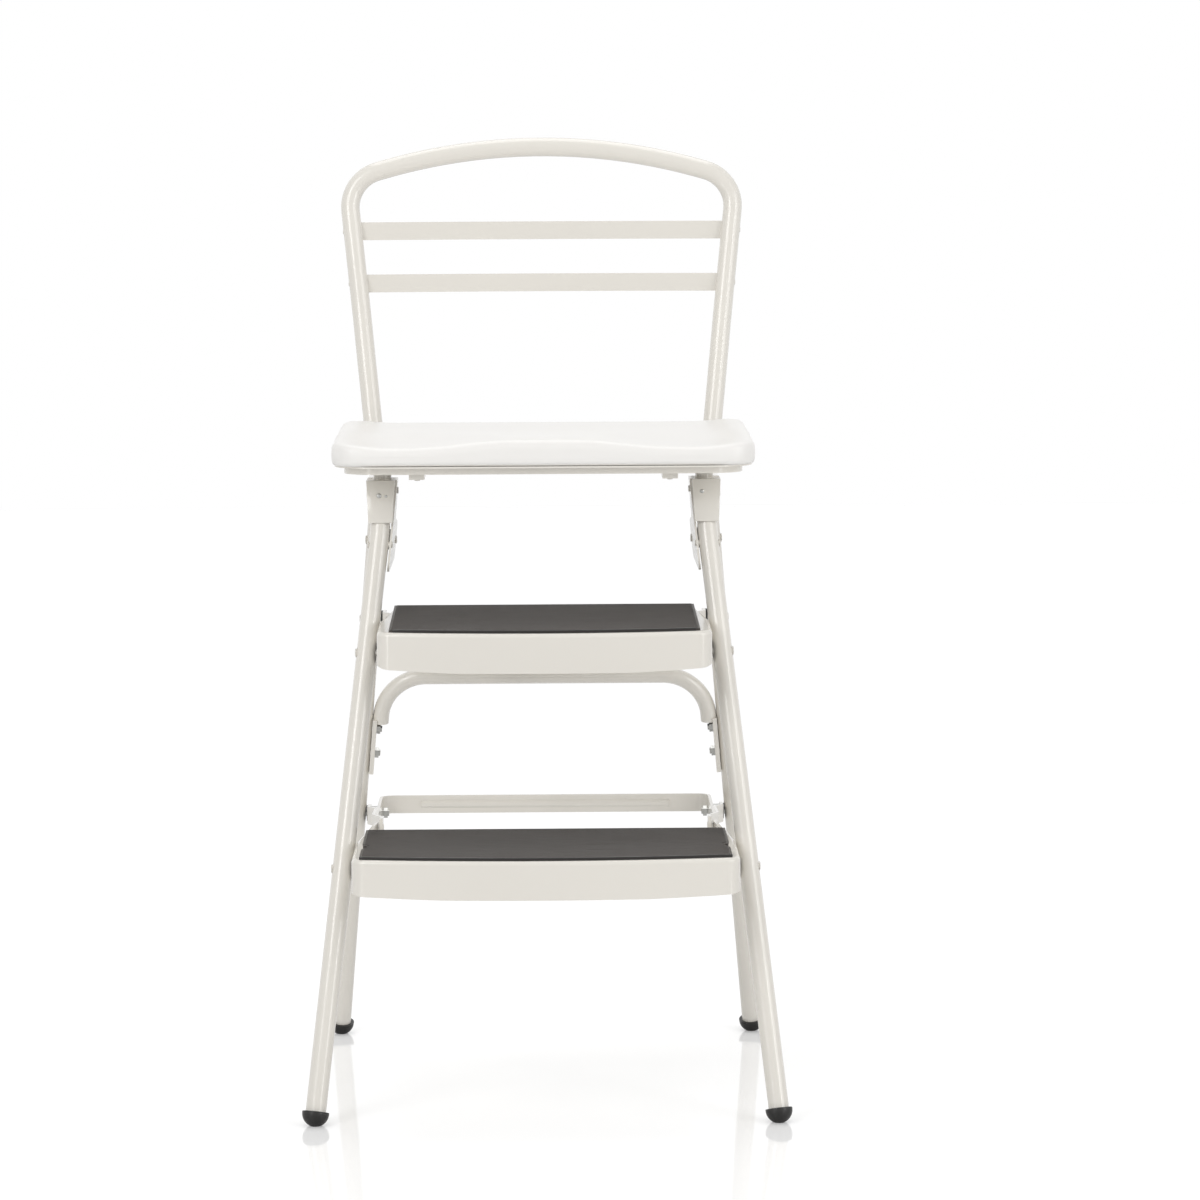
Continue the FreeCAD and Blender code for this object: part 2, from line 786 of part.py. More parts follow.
def draw_tread(sketch, which, inset, corner_radius):
    """Tread outline: a bowed front arc, tangent front corners, sides that taper behind the pivot."""
    half = size(which + "_pan_half")
    bow = size(which + "_pan_bow")
    bend_y = size(which + "_pivot_y") - size("pan_bend_gap")
    reach = half - inset
    back_y = size(which + "_pan_rear") - inset
    back_reach = reach - size(which + "_pan_taper") * (back_y - bend_y)
    mid_y = size(which + "_pan_front") - bow + inset
    arc_radius = (half * half + bow * bow) / (2 * bow) - inset
    arc_centre = Vec(0, mid_y + arc_radius, 0)
    drop = math.sqrt((arc_radius - corner_radius) ** 2 - (reach - corner_radius) ** 2)
    ends = []
    for side in (-1, 1):
        centre = Vec(side * (reach - corner_radius), arc_centre.y - drop, 0)
        way = (centre - arc_centre).normalize()
        on_side = Vec(side * reach, centre.y, 0)
        on_front = arc_centre + way * arc_radius
        middle = (on_side + on_front) * 0.5 - centre
        bulge = centre + middle.normalize() * corner_radius
        bend = Vec(side * reach, bend_y, 0)
        sketch.addGeometry(Part.Arc(on_side, bulge, on_front), False)
        sketch.addGeometry(Part.LineSegment(bend, on_side), False)
        sketch.addGeometry(Part.LineSegment(Vec(side * back_reach, back_y, 0), bend), False)
        ends.append(on_front)
    sketch.addGeometry(Part.Arc(ends[0], Vec(0, mid_y, 0), ends[1]), False)
    sketch.addGeometry(Part.LineSegment(Vec(-back_reach, back_y, 0), Vec(back_reach, back_y, 0)), False)


def pan_side_x(which, y):
    """Half width of a pan at a Y value."""
    bend_y = size(which + "_pivot_y") - size("pan_bend_gap")
    return size(which + "_pan_half") - size(which + "_pan_taper") * max(0.0, y - bend_y)


def make_pan(label, which, tilt):
    """Pressed step pan: top plate, apron, side flanges with pivot ears, rear flange."""
    half = size(which + "_pan_half")
    top = size(which + "_pan_top")
    front = size(which + "_pan_front")
    bow = size(which + "_pan_bow")
    rear = size(which + "_pan_rear")
    pivot_y = size(which + "_pivot_y")
    pivot_z = size(which + "_pivot_z")
    radius = size("ear_radius")
    low = pivot_z - radius
    sheet_t = size("sheet")
    corner_r = size("tread_corner")
    body = new_body(label)
    outline = new_sketch(body, label + "_outline", "XY_Plane", top)
    draw_tread(outline, which, 0.0, corner_r)
    tall = "sizes.%s_pan_top - sizes.%s_pivot_z + sizes.ear_radius" % (which, which)
    pad(body, label + "_block", outline, tall, backwards=True)
    block = body.Tip
    edge = body.newObject("PartDesign::Fillet", label + "_edge")
    names = []
    for number, item in enumerate(block.Shape.Edges, start=1):
        box_of = item.BoundBox
        if box_of.ZMin > top - 0.01 and box_of.YMin < rear - 1:
            names.append("Edge%d" % number)
    edge.Base = (block, names)
    bind(edge, "Radius", "sizes.tread_edge")
    doc.recompute()
    inner = new_sketch(body, label + "_hollow_sketch", "XY_Plane", low)
    draw_tread(inner, which, sheet_t, corner_r - sheet_t)
    deep = tall + " - sizes.sheet"
    pocket(body, label + "_hollow", inner, deep, backwards=True)
    # Side view below the flanges is cleared, the ears stay round the pivots.
    side_view = new_sketch(body, label + "_side_sketch", "YZ_Plane", 0.0)
    flange = pivot_z + size("arm_lift")
    apron_end = size(which + "_apron_end")
    apron_mid = size(which + "_apron_mid")
    margin = size("cut_margin")
    ear_round = size("ear_round")
    draw_round_loop(side_view, [
        (front - bow - margin, low - margin),
        (front - bow - margin, apron_mid),
        (front - bow + size("apron_step"), apron_mid),
        (front + size("apron_corner"), apron_end),
        (pivot_y - size("ear_run"), apron_end),
        (pivot_y - radius, low),
        (pivot_y + radius, low),
        (pivot_y + radius + size("flange_step"), flange),
        (rear + margin, flange),
        (rear + margin, low - margin),
    ], [0, 0, 0, 0, ear_round, ear_round, ear_round, size("tread_edge"), 0, 0])
    pocket(body, label + "_side", side_view, "4 * sizes.%s_pan_half" % which, both_ways=True)
    hole_through(body, label + "_pivot", pivot_y, pivot_z,
                 "sizes.pivot_dia + 2 * sizes.run_gap", -half - radius, half + radius)
    # The rear flange is open at both ends so that the bars behind it can pass.
    slot = new_sketch(body, label + "_slot_sketch", "XZ_Plane", -rear - margin)
    for side in (-1, 1):
        a = side * size(which + "_slot_half")
        b = side * (pan_side_x(which, rear) - sheet_t + size("slot_clear"))
        draw_loop(slot, [(a, low - margin), (b, low - margin), (b, top - sheet_t), (a, top - sheet_t)])
    pocket(body, label + "_slot", slot, "sizes.rear_slot_depth")
    if which == "low":
        for number, y in enumerate(ARM_RIVETS_Y):
            hole_through(body, label + "_arm_hole_%d" % number, y, size("low_joint_z"),
                         "sizes.arm_rivet_dia", -half - radius, half + radius)
    if tilt:
        turn = FreeCAD.Rotation(RIGHT, tilt)
        body.Placement = FreeCAD.Placement(Vec(0, 0, 0), turn, Vec(0, pivot_y, pivot_z))
    doc.recompute()
    return finish(body, label)


def make_mat(label, which, tilt):
    """Flat tread mat with lengthwise ribs, its front edge bowed like the pan's."""
    reach = size(which + "_mat_half")
    top = size(which + "_pan_top")
    bow = size(which + "_pan_bow")
    back_y = size(which + "_pan_rear") - size("mat_rear_gap")
    front_y = size(which + "_pan_front") + size("mat_inset") - bow
    end_y = front_y + bow * (reach / size(which + "_pan_half")) ** 2
    body = new_body(label)
    outline = new_sketch(body, label + "_outline", "XY_Plane", top)
    for side in (-1, 1):
        outline.addGeometry(Part.LineSegment(Vec(side * reach, back_y, 0), Vec(side * reach, end_y, 0)), False)
    outline.addGeometry(Part.Arc(Vec(-reach, end_y, 0), Vec(0, front_y, 0), Vec(reach, end_y, 0)), False)
    outline.addGeometry(Part.LineSegment(Vec(reach, back_y, 0), Vec(-reach, back_y, 0)), False)
    pad(body, label + "_slab", outline, "sizes.mat_thickness")
    crest = top + size("mat_thickness")
    groove_z = crest - size("mat_rib_depth")
    groove_width = size("mat_rib_pitch") - size("mat_rib_width")
    grooves = new_sketch(body, label + "_groove_sketch", "YZ_Plane", 0.0)
    y = size(which + "_pan_rear") - size("mat_plain_rear")
    while y > end_y + size("mat_plain_front"):
        draw_loop(grooves, [(y, groove_z), (y - groove_width, groove_z),
                            (y - groove_width, crest + size("mat_rib_depth")), (y, crest + size("mat_rib_depth"))])
        y -= size("mat_rib_pitch")
    wide = "2 * (sizes.%s_mat_half - sizes.mat_plain_side)" % which
    pocket(body, label + "_grooves", grooves, wide, both_ways=True)
    if tilt:
        turn = FreeCAD.Rotation(RIGHT, tilt)
        centre = Vec(0, size(which + "_pivot_y"), size(which + "_pivot_z"))
        body.Placement = FreeCAD.Placement(Vec(0, 0, 0), turn, centre)
    doc.recompute()
    return finish(body, label)


make_pan("lower_step_pan", "low", 0.0)
make_mat("lower_step_mat", "low", 0.0)
make_pan("upper_step_pan", "high", size("high_tread_tilt"))
make_mat("upper_step_mat", "high", size("high_tread_tilt"))

# Flat bars seen from the side: arms, links and the crossbar


def flat_bar(label, outside, ends, height, hole_list):
    """A bar of even thickness that follows a plan line, standing on edge.

    outside is the plan line of its outer face as (x, y) points from rear to
    front, ends the two end roundings as (y, z) centres.
    """
    thick = size("bar_thickness")
    side = 1 if outside[0][0] > 0 else -1
    inner = [(x - side * thick, y) for x, y in outside]
    body = new_body(label)
    plan = new_sketch(body, label + "_plan", "XY_Plane", min(p[1] for p in ends) - height)
    draw_loop(plan, outside + inner[::-1])
    tall = max(p[1] for p in ends) - min(p[1] for p in ends) + 2 * height
    feature = body.newObject("PartDesign::Pad", label + "_blank")
    feature.Profile = plan
    feature.Length = tall
    plan.Visibility = False
    doc.recompute()
    (y0, z0), (y1, z1) = ends
    shape = doc.addObject("Part::Feature", label + "_side_shape")
    way = Vec(0, y1 - y0, z1 - z0).normalize()
    up = Vec(0, -way.z, way.y)
    r = height / 2
    a = Vec(0, y0, z0)
    b = Vec(0, y1, z1)
    edges = [
        Part.makeLine(a + up * r, b + up * r),
        Part.Arc(b + up * r, b + way * r, b - up * r).toShape(),
        Part.makeLine(b - up * r, a - up * r),
        Part.Arc(a - up * r, a - way * r, a + up * r).toShape(),
    ]
    shape.Shape = Part.Face(Part.Wire(edges))
    prism = doc.addObject("Part::Extrusion", label + "_side_view")
    prism.Base = shape
    prism.DirMode = "Custom"
    prism.Dir = RIGHT
    prism.LengthFwd = size("seat_half") * 1.5
    prism.LengthRev = size("seat_half") * 1.5
    prism.Solid = True
    bar = common(label + "_bar", [body, prism])
    drills = []
    for number, (y, hz, diameter) in enumerate(hole_list):
        middle = (min(x for x, ahead in outside) + max(x for x, ahead in outside)) / 2
        drills.append(drill("%s_drill_%d" % (label, number), middle, y, hz, diameter))
    return cut(label + "_cut", bar, fuse(label + "_drills", drills))


run_joint = "sizes.joint_dia + 2 * sizes.run_gap"
bar_h = size("bar_height")
arm_z = size("low_joint_z")
for word, side in SIDES:
    y0 = size("low_joint_y")
    y1 = size("arm_start_y")
    line = [(side * (pan_side_x("low", y) - size("sheet")), y) for y in (y0 + bar_h, y1 - bar_h)]
    finish(flat_bar("lower_step_arm_" + word, line, [(y0, arm_z), (y1, arm_z)], size("arm_height"),
                    [(y, arm_z, "sizes.arm_rivet_dia") for y in ARM_RIVETS_Y]), "lower_step_arm_" + word)

    rear_y = size("low_link_y")
    rear_z = size("low_link_z")
    rear_x = side * size("low_link_rear_x")
    mid_x = side * size("low_link_mid_x")
    front_x = side * size("low_link_front_x")
    line = [
        (rear_x, rear_y + bar_h), (rear_x, rear_y - size("low_link_bend_one")),
        (mid_x, rear_y - size("low_link_bend_two")),
        (mid_x, size("crossbar_front_y") - size("low_link_bend_three")),
        (front_x, size("crossbar_front_y") - size("low_link_bend_four")), (front_x, y0 - bar_h),
    ]
    finish(flat_bar("lower_link_" + word, line, [(rear_y, rear_z), (y0, arm_z)], bar_h,
                    [(rear_y, rear_z, run_joint), (y0, arm_z, "sizes.joint_dia"),
                     (size("link_tie_y"), size("link_tie_z"), "sizes.bolt_dia")]), "lower_link_" + word)

    rear_y = size("high_link_y")
    rear_z = size("high_link_z")
    rear_x = side * size("high_link_rear_x")
    front_x = side * size("high_link_front_x")
    tip_y = size("high_joint_y")
    tip_z = size("high_joint_z")
    line = [
        (rear_x, rear_y + bar_h), (rear_x, rear_y - size("high_link_bend_one")),
        (front_x, rear_y - size("high_link_bend_two")), (front_x, tip_y - bar_h),
    ]
    finish(flat_bar("upper_link_" + word, line, [(rear_y, rear_z), (tip_y, tip_z)], size("high_link_height"),
                    [(rear_y, rear_z, run_joint), (tip_y, tip_z, "sizes.joint_dia")]), "upper_link_" + word)

# Crossbar: one bent bar whose arms run forward beside the lower links

bar = new_body("crossbar_bent")
plan = new_sketch(bar, "crossbar_plan", "XY_Plane", size("crossbar_z") - size("crossbar_height") / 2)
reach = size("crossbar_half")
thick = size("bar_thickness")
back = size("crossbar_rear_y") + thick
front = size("crossbar_front_y")
r_out = size("crossbar_corner")
r_in = r_out - thick
draw_round_loop(plan, [
    (-reach, front), (-reach, back), (reach, back), (reach, front),
    (reach - thick, front), (reach - thick, back - thick),
    (-reach + thick, back - thick), (-reach + thick, front),
], [0, r_out, r_out, 0, 0, r_in, r_in, 0])
pad(bar, "crossbar_blank", plan, "sizes.crossbar_height")
rib = new_sketch(bar, "crossbar_rib_sketch", "YZ_Plane", 0.0)
mid_z = size("crossbar_z")
rise = size("crossbar_rib")
foot_y = back - thick + size("crossbar_rib_sink")
crest_rib_y = back - thick - rise
foot_half = size("crossbar_rib_foot")
crest_half = size("crossbar_rib_crest")
draw_loop(rib, [(foot_y, mid_z - foot_half), (crest_rib_y, mid_z - crest_half),
                (crest_rib_y, mid_z + crest_half), (foot_y, mid_z + foot_half)])
pad(bar, "crossbar_rib_pad", rib, "2 * (sizes.crossbar_half - sizes.crossbar_rib_end)", both_ways=True)
drills = []
ears = []
for word, side in SIDES:
    y = size("low_link_y")
    z = size("low_link_z")
    drills.append(drill("crossbar_pivot_" + word, side * reach, y, z, run_joint))
    drills.append(drill("crossbar_fix_" + word, side * reach, size("link_tie_y"), size("link_tie_z"),
                        "sizes.bolt_dia"))
    ears.append(plain_pin("crossbar_ear_" + word, Vec(side * (reach - thick), y, z), Vec(side * reach, y, z),
                          "sizes.bar_height"))
bent = fuse("crossbar_with_ears", [bar] + ears)
finish(cut("crossbar_cut", bent, fuse("crossbar_drills", drills)), "crossbar")

# Side brackets: an inner plate that leans with the leg, a bridge over the rail and an outer ear

bracket_rivets = []
swing_rivets = []
swing_spacers = []
seat_pads = []
slope = (size("bracket_low_x") - size("bracket_high_x")) / (size("bracket_high_z") - size("bracket_low_z"))
lean_angle = math.degrees(math.atan(slope))
sheet_b = size("bracket_sheet")


def plate_x(z):
    """Half distance between the outer faces of the bracket plates."""
    return size("bracket_low_x") - slope * (z - size("bracket_low_z"))


for word, side in SIDES:
    name = "side_bracket_" + word
    plate = new_body(name + "_plate")
    outline = new_sketch(plate, name + "_outline", "YZ_Plane", 0.0)
    low_z = size("bracket_low_z")
    high = (size("bracket_high_z") - low_z) / math.cos(math.radians(lean_angle))
    swing_up = (size("swing_pivot_z") - low_z) / math.cos(math.radians(lean_angle))
    swing_y = size("swing_pivot_y")
    run = size("bracket_rear_run")
    draw_round_loop(outline, [
        (size("bracket_front_y"), 0.0), (swing_y + run, 0.0), (swing_y + run, swing_up + run),
        (size("bracket_shoulder_y"), swing_up + size("bracket_shoulder_rise")),
        (size("saddle_rear_y"), high + size("slot_clear")), (size("saddle_front_y"), high + size("slot_clear")),
        (size("bracket_throat_y"), size("bracket_throat_rise")),
    ], [size("bracket_front_round"), run, run, size("bracket_shoulder_round"), 0, 0,
        size("bracket_throat_round")])
    pad(plate, name + "_sheet", outline, "sizes.bracket_sheet")
    turn = FreeCAD.Rotation(Vec(0, 1, 0), -side * lean_angle)
    face_x = plate_x(low_z) - (sheet_b if side > 0 else 0)
    plate.Placement = FreeCAD.Placement(Vec(side * face_x, 0, low_z), turn)
    top_z = size("bracket_high_z")
    inner_x = plate_x(top_z) - sheet_b
    outer_x = size("bracket_ear_x")
    y0 = size("saddle_front_y")
    y1 = size("saddle_rear_y")
    xs = sorted((side * inner_x, side * outer_x))
    bridge = box(name + "_bridge", (xs[0], y0, top_z), (xs[1], y1, top_z + sheet_b))
    xs = sorted((side * (outer_x - sheet_b), side * outer_x))
    ear = box(name + "_ear", (xs[0], y0, size("bracket_ear_low")), (xs[1], y1, top_z + sheet_b))
    shell = fuse(name + "_sheets", [plate, bridge, ear])
    low_at = front_point(size("saddle_rivet_low_z"), side)
    drills = [
        drill(name + "_swing_hole", side * plate_x(size("swing_pivot_z")), swing_y, size("swing_pivot_z"),
              "sizes.pivot_dia"),
        drill(name + "_high_hole", side * size("rail_front_x"), size("saddle_rivet_y"), size("rail_z"),
              "sizes.bolt_dia"),
        drill(name + "_low_hole", side * plate_x(low_at.z), low_at.y, low_at.z, "sizes.bolt_dia"),
    ]
    finish(cut(name + "_cut", shell, fuse(name + "_drills", drills)), name)

    def px(x, y, z):
        return Vec(side * x, y, z)

    head_d = "sizes.rivet_head_dia * 0.8"
    head_h = "sizes.rivet_head_height"
    lift = size("head_gap")
    y = size("saddle_rivet_y")
    z = size("rail_z")
    bracket_rivets.append(rivet(name + "_rivet_high", px(plate_x(z) - sheet_b - lift, y, z), px(outer_x, y, z),
                                "sizes.bolt_dia", head_d, head_h))
    y = low_at.y
    z = low_at.z
    out = low_at.x * side + half_leg + lift
    bracket_rivets.append(rivet(name + "_rivet_low", px(plate_x(z) - sheet_b - lift, y, z), px(out, y, z),
                                "sizes.bolt_dia", head_d, head_h))
    y = swing_y
    z = size("swing_pivot_z")
    out = rear_point(z, 1).x + half_leg + lift
    swing_rivets.append(rivet("swing_rivet_" + word, px(plate_x(z) - sheet_b - lift, y, z), px(out, y, z),
                              "sizes.pivot_dia", "sizes.rivet_head_dia", "sizes.rivet_head_height"))
    washer_out = rear_inner(z + size("washer_dia") / 2) - size("side_gap")
    swing_spacers.append(collar("swing_spacer_" + word, px(plate_x(z) + size("spacer_clear"), y, z),
                                px(washer_out, y, z), "sizes.washer_dia", "sizes.pivot_dia"))
    pad_at = px((inner_x + outer_x) / 2, size("pad_y"), top_z + sheet_b)
    rest = doc.addObject("Part::Cylinder", "seat_pad_" + word)
    bind(rest, "Radius", "sizes.pad_dia / 2")
    bind(rest, "Height", "sizes.pan_low_z - sizes.side_gap - sizes.bracket_high_z - sizes.bracket_sheet")
    rest.Placement.Base = pad_at
    seat_pads.append(rest)
group("bracket_rivets", bracket_rivets)
group("swing_rivets", swing_rivets)
group("swing_spacers", swing_spacers)
group("seat_rest_pads", seat_pads)

# Step pivots, link pivots and their washers

step_rivets = []
step_washers = []
link_rivets = []
link_washers = []
cross_bolts = []
cross_nuts = []
cross_spacers = []
cross_rivets = []
low_studs = []
high_studs = []
arm_rivets = []
gap = size("side_gap")
for word, side in SIDES:
    def at(x, y, z):
        return Vec(side * x, y, z)

    for which in ("low", "high"):
        y = size(which + "_pivot_y")
        z = size(which + "_pivot_z")
        out = front_point(z, 1).x + half_leg + size("head_gap")
        skin_x = pan_side_x(which, y + size("rivet_head_dia") / 2)
        step_rivets.append(rivet("step_rivet_%s_%s" % (which, word),
                                 at(skin_x - size("sheet") - gap, y, z), at(out, y, z),
                                 "sizes.pivot_dia", "sizes.rivet_head_dia", "sizes.rivet_head_height"))
        step_washers.append(collar("step_washer_%s_%s" % (which, word), at(size(which + "_pan_half") + gap, y, z),
                                   at(front_inner(z + size("washer_dia") / 2), y, z), "sizes.washer_dia",
                                   "sizes.pivot_dia"))

    y = size("high_link_y")
    z = size("high_link_z")
    link_x = size("high_link_rear_x")
    out = rear_point(z, 1).x + half_leg + size("head_gap")
    small_washer = 0.8 * size("washer_dia")
    link_rivets.append(rivet("link_rivet_" + word, at(link_x - size("bar_thickness") - gap, y, z), at(out, y, z),
                             "sizes.joint_dia", "sizes.rivet_head_dia * 0.9", "sizes.rivet_head_height"))
    link_washers.append(collar("link_washer_high_" + word, at(link_x + gap, y, z),
                               at(rear_inner(z + small_washer / 2), y, z), "sizes.washer_dia * 0.8",
                               "sizes.joint_dia"))

    y = size("low_link_y")
    z = size("low_link_z")
    link_x = size("low_link_rear_x")
    out = rear_point(z, 1).x + half_leg + size("head_gap")
    nut_face = size("crossbar_half") - size("bar_thickness") - size("spacer_clear")
    nut_end = nut_face - size("nut_height")
    shank = plain_pin("cross_bolt_shank_" + word, at(nut_end - size("bolt_tail"), y, z), at(out, y, z),
                      "sizes.joint_dia")
    dome = cone("cross_bolt_head_" + word, "sizes.rivet_head_dia / 2", "sizes.rivet_head_dia * 0.3",
                "sizes.rivet_head_height", at(out, y, z), RIGHT * side)
    cross_bolts.append(fuse("cross_bolt_" + word, [shank, dome]))
    cross_nuts.append(hexagon("cross_nut_" + word, at(nut_face, y, z), at(nut_end, y, z), "sizes.nut_across",
                              "sizes.joint_dia"))
    cross_spacers.append(collar("cross_spacer_" + word, at(size("crossbar_half"), y, z),
                                at(link_x - size("bar_thickness"), y, z), "sizes.washer_dia * 0.7",
                                "sizes.joint_dia + 2 * sizes.run_gap"))
    link_washers.append(collar("link_washer_low_" + word, at(link_x + gap, y, z),
                               at(rear_inner(z + small_washer / 2), y, z), "sizes.washer_dia * 0.8",
                               "sizes.joint_dia"))
    y = size("link_tie_y")
    z = size("link_tie_z")
    cross_rivets.append(rivet("cross_rivet_" + word, at(size("crossbar_half") - size("bar_thickness"), y, z),
                              at(size("low_link_mid_x"), y, z), "sizes.bolt_dia", "sizes.rivet_head_dia * 0.9",
                              "sizes.stud_head"))

    y = size("low_joint_y")
    z = size("low_joint_z")
    inner_x = size("low_link_front_x") - size("bar_thickness")
    reach_x = pan_side_x("low", y) - size("sheet") - size("bar_thickness") - size("stud_clear")
    shank = plain_pin("low_stud_shank_" + word, at(inner_x, y, z), at(reach_x, y, z), "sizes.joint_dia")
    dome = cone("low_stud_head_" + word, "sizes.rivet_head_dia * 0.45", "sizes.rivet_head_dia * 0.35",
                "sizes.stud_cap", at(inner_x, y, z), RIGHT * -side)
    low_studs.append(fuse("low_stud_" + word, [shank, dome]))

    y = size("high_joint_y")
    z = size("high_joint_z")
    inner_x = size("high_link_front_x") - size("bar_thickness")
    reach_x = pan_side_x("high", y + size("joint_dia") / 2) - size("sheet") - gap
    shank = plain_pin("high_stud_shank_" + word, at(inner_x, y, z), at(reach_x, y, z), "sizes.joint_dia")
    dome = cone("high_stud_head_" + word, "sizes.rivet_head_dia * 0.45", "sizes.rivet_head_dia * 0.35",
                "sizes.stud_head", at(inner_x, y, z), RIGHT * -side)
    high_studs.append(fuse("high_stud_" + word, [shank, dome]))

    for number, y in enumerate(ARM_RIVETS_Y):
        skin_x = pan_side_x("low", y)
        arm_rivets.append(rivet("arm_rivet_%d_%s" % (number, word),
                                at(skin_x - size("sheet") - size("bar_thickness") - gap, y, size("low_joint_z")),
                                at(skin_x + gap, y, size("low_joint_z")), "sizes.arm_rivet_dia",
                                "sizes.rivet_head_dia * 0.75", "sizes.stud_cap"))
group("step_pivot_rivets", step_rivets)
group("step_pivot_washers", step_washers)
group("link_pivot_rivets", link_rivets)
group("link_pivot_washers", link_washers)
group("crossbar_bolts", cross_bolts)
group("crossbar_nuts", cross_nuts)
group("crossbar_spacers", cross_spacers)
group("crossbar_rivets", cross_rivets)
group("lower_link_studs", low_studs)
group("upper_link_studs", high_studs)
group("step_arm_rivets", arm_rivets)

# Seat: moulded shell over a pressed tray, with battens, hinge ears and pins


def seat_outline(sketch, half, front, rear, corner_front, corner_rear):
    """Rounded rectangle in plan."""
    draw_round_loop(sketch, [(-half, front), (half, front), (half, rear), (-half, rear)],
                    [corner_front, corner_front, corner_rear, corner_rear])


seat_half = size("seat_half")
wall_t = size("seat_wall")
margin = size("cut_margin")
rear_corner = size("seat_rear_corner")
shell = new_body("seat_shell_body")
plan = new_sketch(shell, "seat_plan", "XY_Plane", size("seat_bottom_z"))
seat_outline(plan, seat_half, size("seat_front_y"), size("seat_rear_y"), size("seat_corner"), rear_corner)
pad(shell, "seat_block", plan, "sizes.seat_pommel_z + 2 * sizes.cut_margin - sizes.seat_bottom_z")
# The top dips under each thigh and rises to a pommel in the middle.
crown = new_sketch(shell, "seat_crown_sketch", "XZ_Plane", 0.0)
dip_z = size("seat_top_z") + size("seat_dip_lift")
edge_z = dip_z + size("seat_dip_lift")
thigh_z = dip_z + size("seat_thigh_lift")
end_x = seat_half + 2 * margin
above_z = size("seat_pommel_z") + 5 * margin
profile = [(end_x, edge_z), (seat_half * size("seat_dip_share"), dip_z),
           (seat_half * size("seat_thigh_share"), thigh_z)]
line = Part.BSplineCurve()
line.interpolate([Vec(-x, z, 0) for x, z in profile] + [Vec(0, size("seat_pommel_z"), 0)]
                 + [Vec(x, z, 0) for x, z in profile[::-1]])
crown.addGeometry(line, False)
crown.addGeometry(Part.LineSegment(Vec(end_x, edge_z, 0), Vec(end_x, above_z, 0)), False)
crown.addGeometry(Part.LineSegment(Vec(end_x, above_z, 0), Vec(-end_x, above_z, 0)), False)
crown.addGeometry(Part.LineSegment(Vec(-end_x, above_z, 0), Vec(-end_x, edge_z, 0)), False)
pocket(shell, "seat_crown", crown, "4 * sizes.seat_half", both_ways=True)
under = new_sketch(shell, "seat_under_sketch", "XY_Plane", size("seat_bottom_z"))
seat_outline(under, seat_half - wall_t, size("seat_front_y") + wall_t, size("seat_rear_y") - wall_t,
             size("seat_corner") - wall_t, rear_corner - wall_t)
pocket(shell, "seat_under", under, "sizes.seat_top_z - sizes.seat_wall - sizes.seat_bottom_z", backwards=True)
hollowed = shell.Tip
rim = shell.newObject("PartDesign::Fillet", "seat_rim")
names = []
for number, item in enumerate(hollowed.Shape.Edges, start=1):
    box_of = item.BoundBox
    along_middle = abs(item.CenterOfMass.x) < 1 and box_of.YLength > size("seat_half") / 2
    if box_of.ZMin > size("seat_top_z") - 1 and not along_middle:
        names.append("Edge%d" % number)
rim.Base = (hollowed, names)
bind(rim, "Radius", "sizes.seat_rim")
doc.recompute()
if not rim.isValid() or rim.Shape.isNull():
    raise RuntimeError("seat rim failed")
finish(shell, "seat_shell")

tray = new_body("seat_tray_body")
t = size("sheet")
inset = size("tray_inset")
deep_half = seat_half - size("tray_side_step")
deep_front = size("seat_front_y") + size("tray_front_step")
deep_rear = size("tray_rear_y") - size("tray_rear_step")
deep_corner = size("tray_deep_corner")
tray_corner = size("tray_rear_corner")
flange = new_sketch(tray, "tray_flange_sketch", "XY_Plane", size("seat_bottom_z"))
seat_outline(flange, seat_half - inset, size("seat_front_y") + inset, size("tray_rear_y"),
             size("seat_corner") - inset, tray_corner)
pad(tray, "tray_flange", flange, "sizes.sheet", backwards=True)
deep = new_sketch(tray, "tray_deep_sketch", "XY_Plane", size("seat_bottom_z") - t)
seat_outline(deep, deep_half, deep_front, deep_rear, deep_corner, tray_corner)
pad(tray, "tray_deep", deep, "sizes.seat_bottom_z - sizes.sheet - sizes.pan_low_z", backwards=True)
well = new_sketch(tray, "tray_well_sketch", "XY_Plane", size("seat_bottom_z"))
seat_outline(well, deep_half - t, deep_front + t, deep_rear - t, deep_corner - t, tray_corner - t)
pocket(tray, "tray_well", well, "sizes.seat_bottom_z - sizes.pan_low_z - sizes.sheet")
finish(tray, "seat_tray")

batten_front = size("seat_front_y") + size("batten_front_step")
batten_rear = size("tray_rear_y") - size("batten_rear_step")
battens = []
for word, side in SIDES:
    xs = sorted((side * size("batten_in"), side * size("batten_out")))
    low_z = size("batten_low_z")
    wall = size("batten_wall")
    block = box("batten_block_" + word, (xs[0], batten_front, low_z), (xs[1], batten_rear, size("pan_low_z")))
    trough = box("batten_trough_" + word, (xs[0] + wall, batten_front + wall, low_z + t),
                 (xs[1] - wall, batten_rear - wall, size("pan_low_z") + t))
    battens.append(cut("batten_" + word, block, trough))
group("seat_battens", battens)

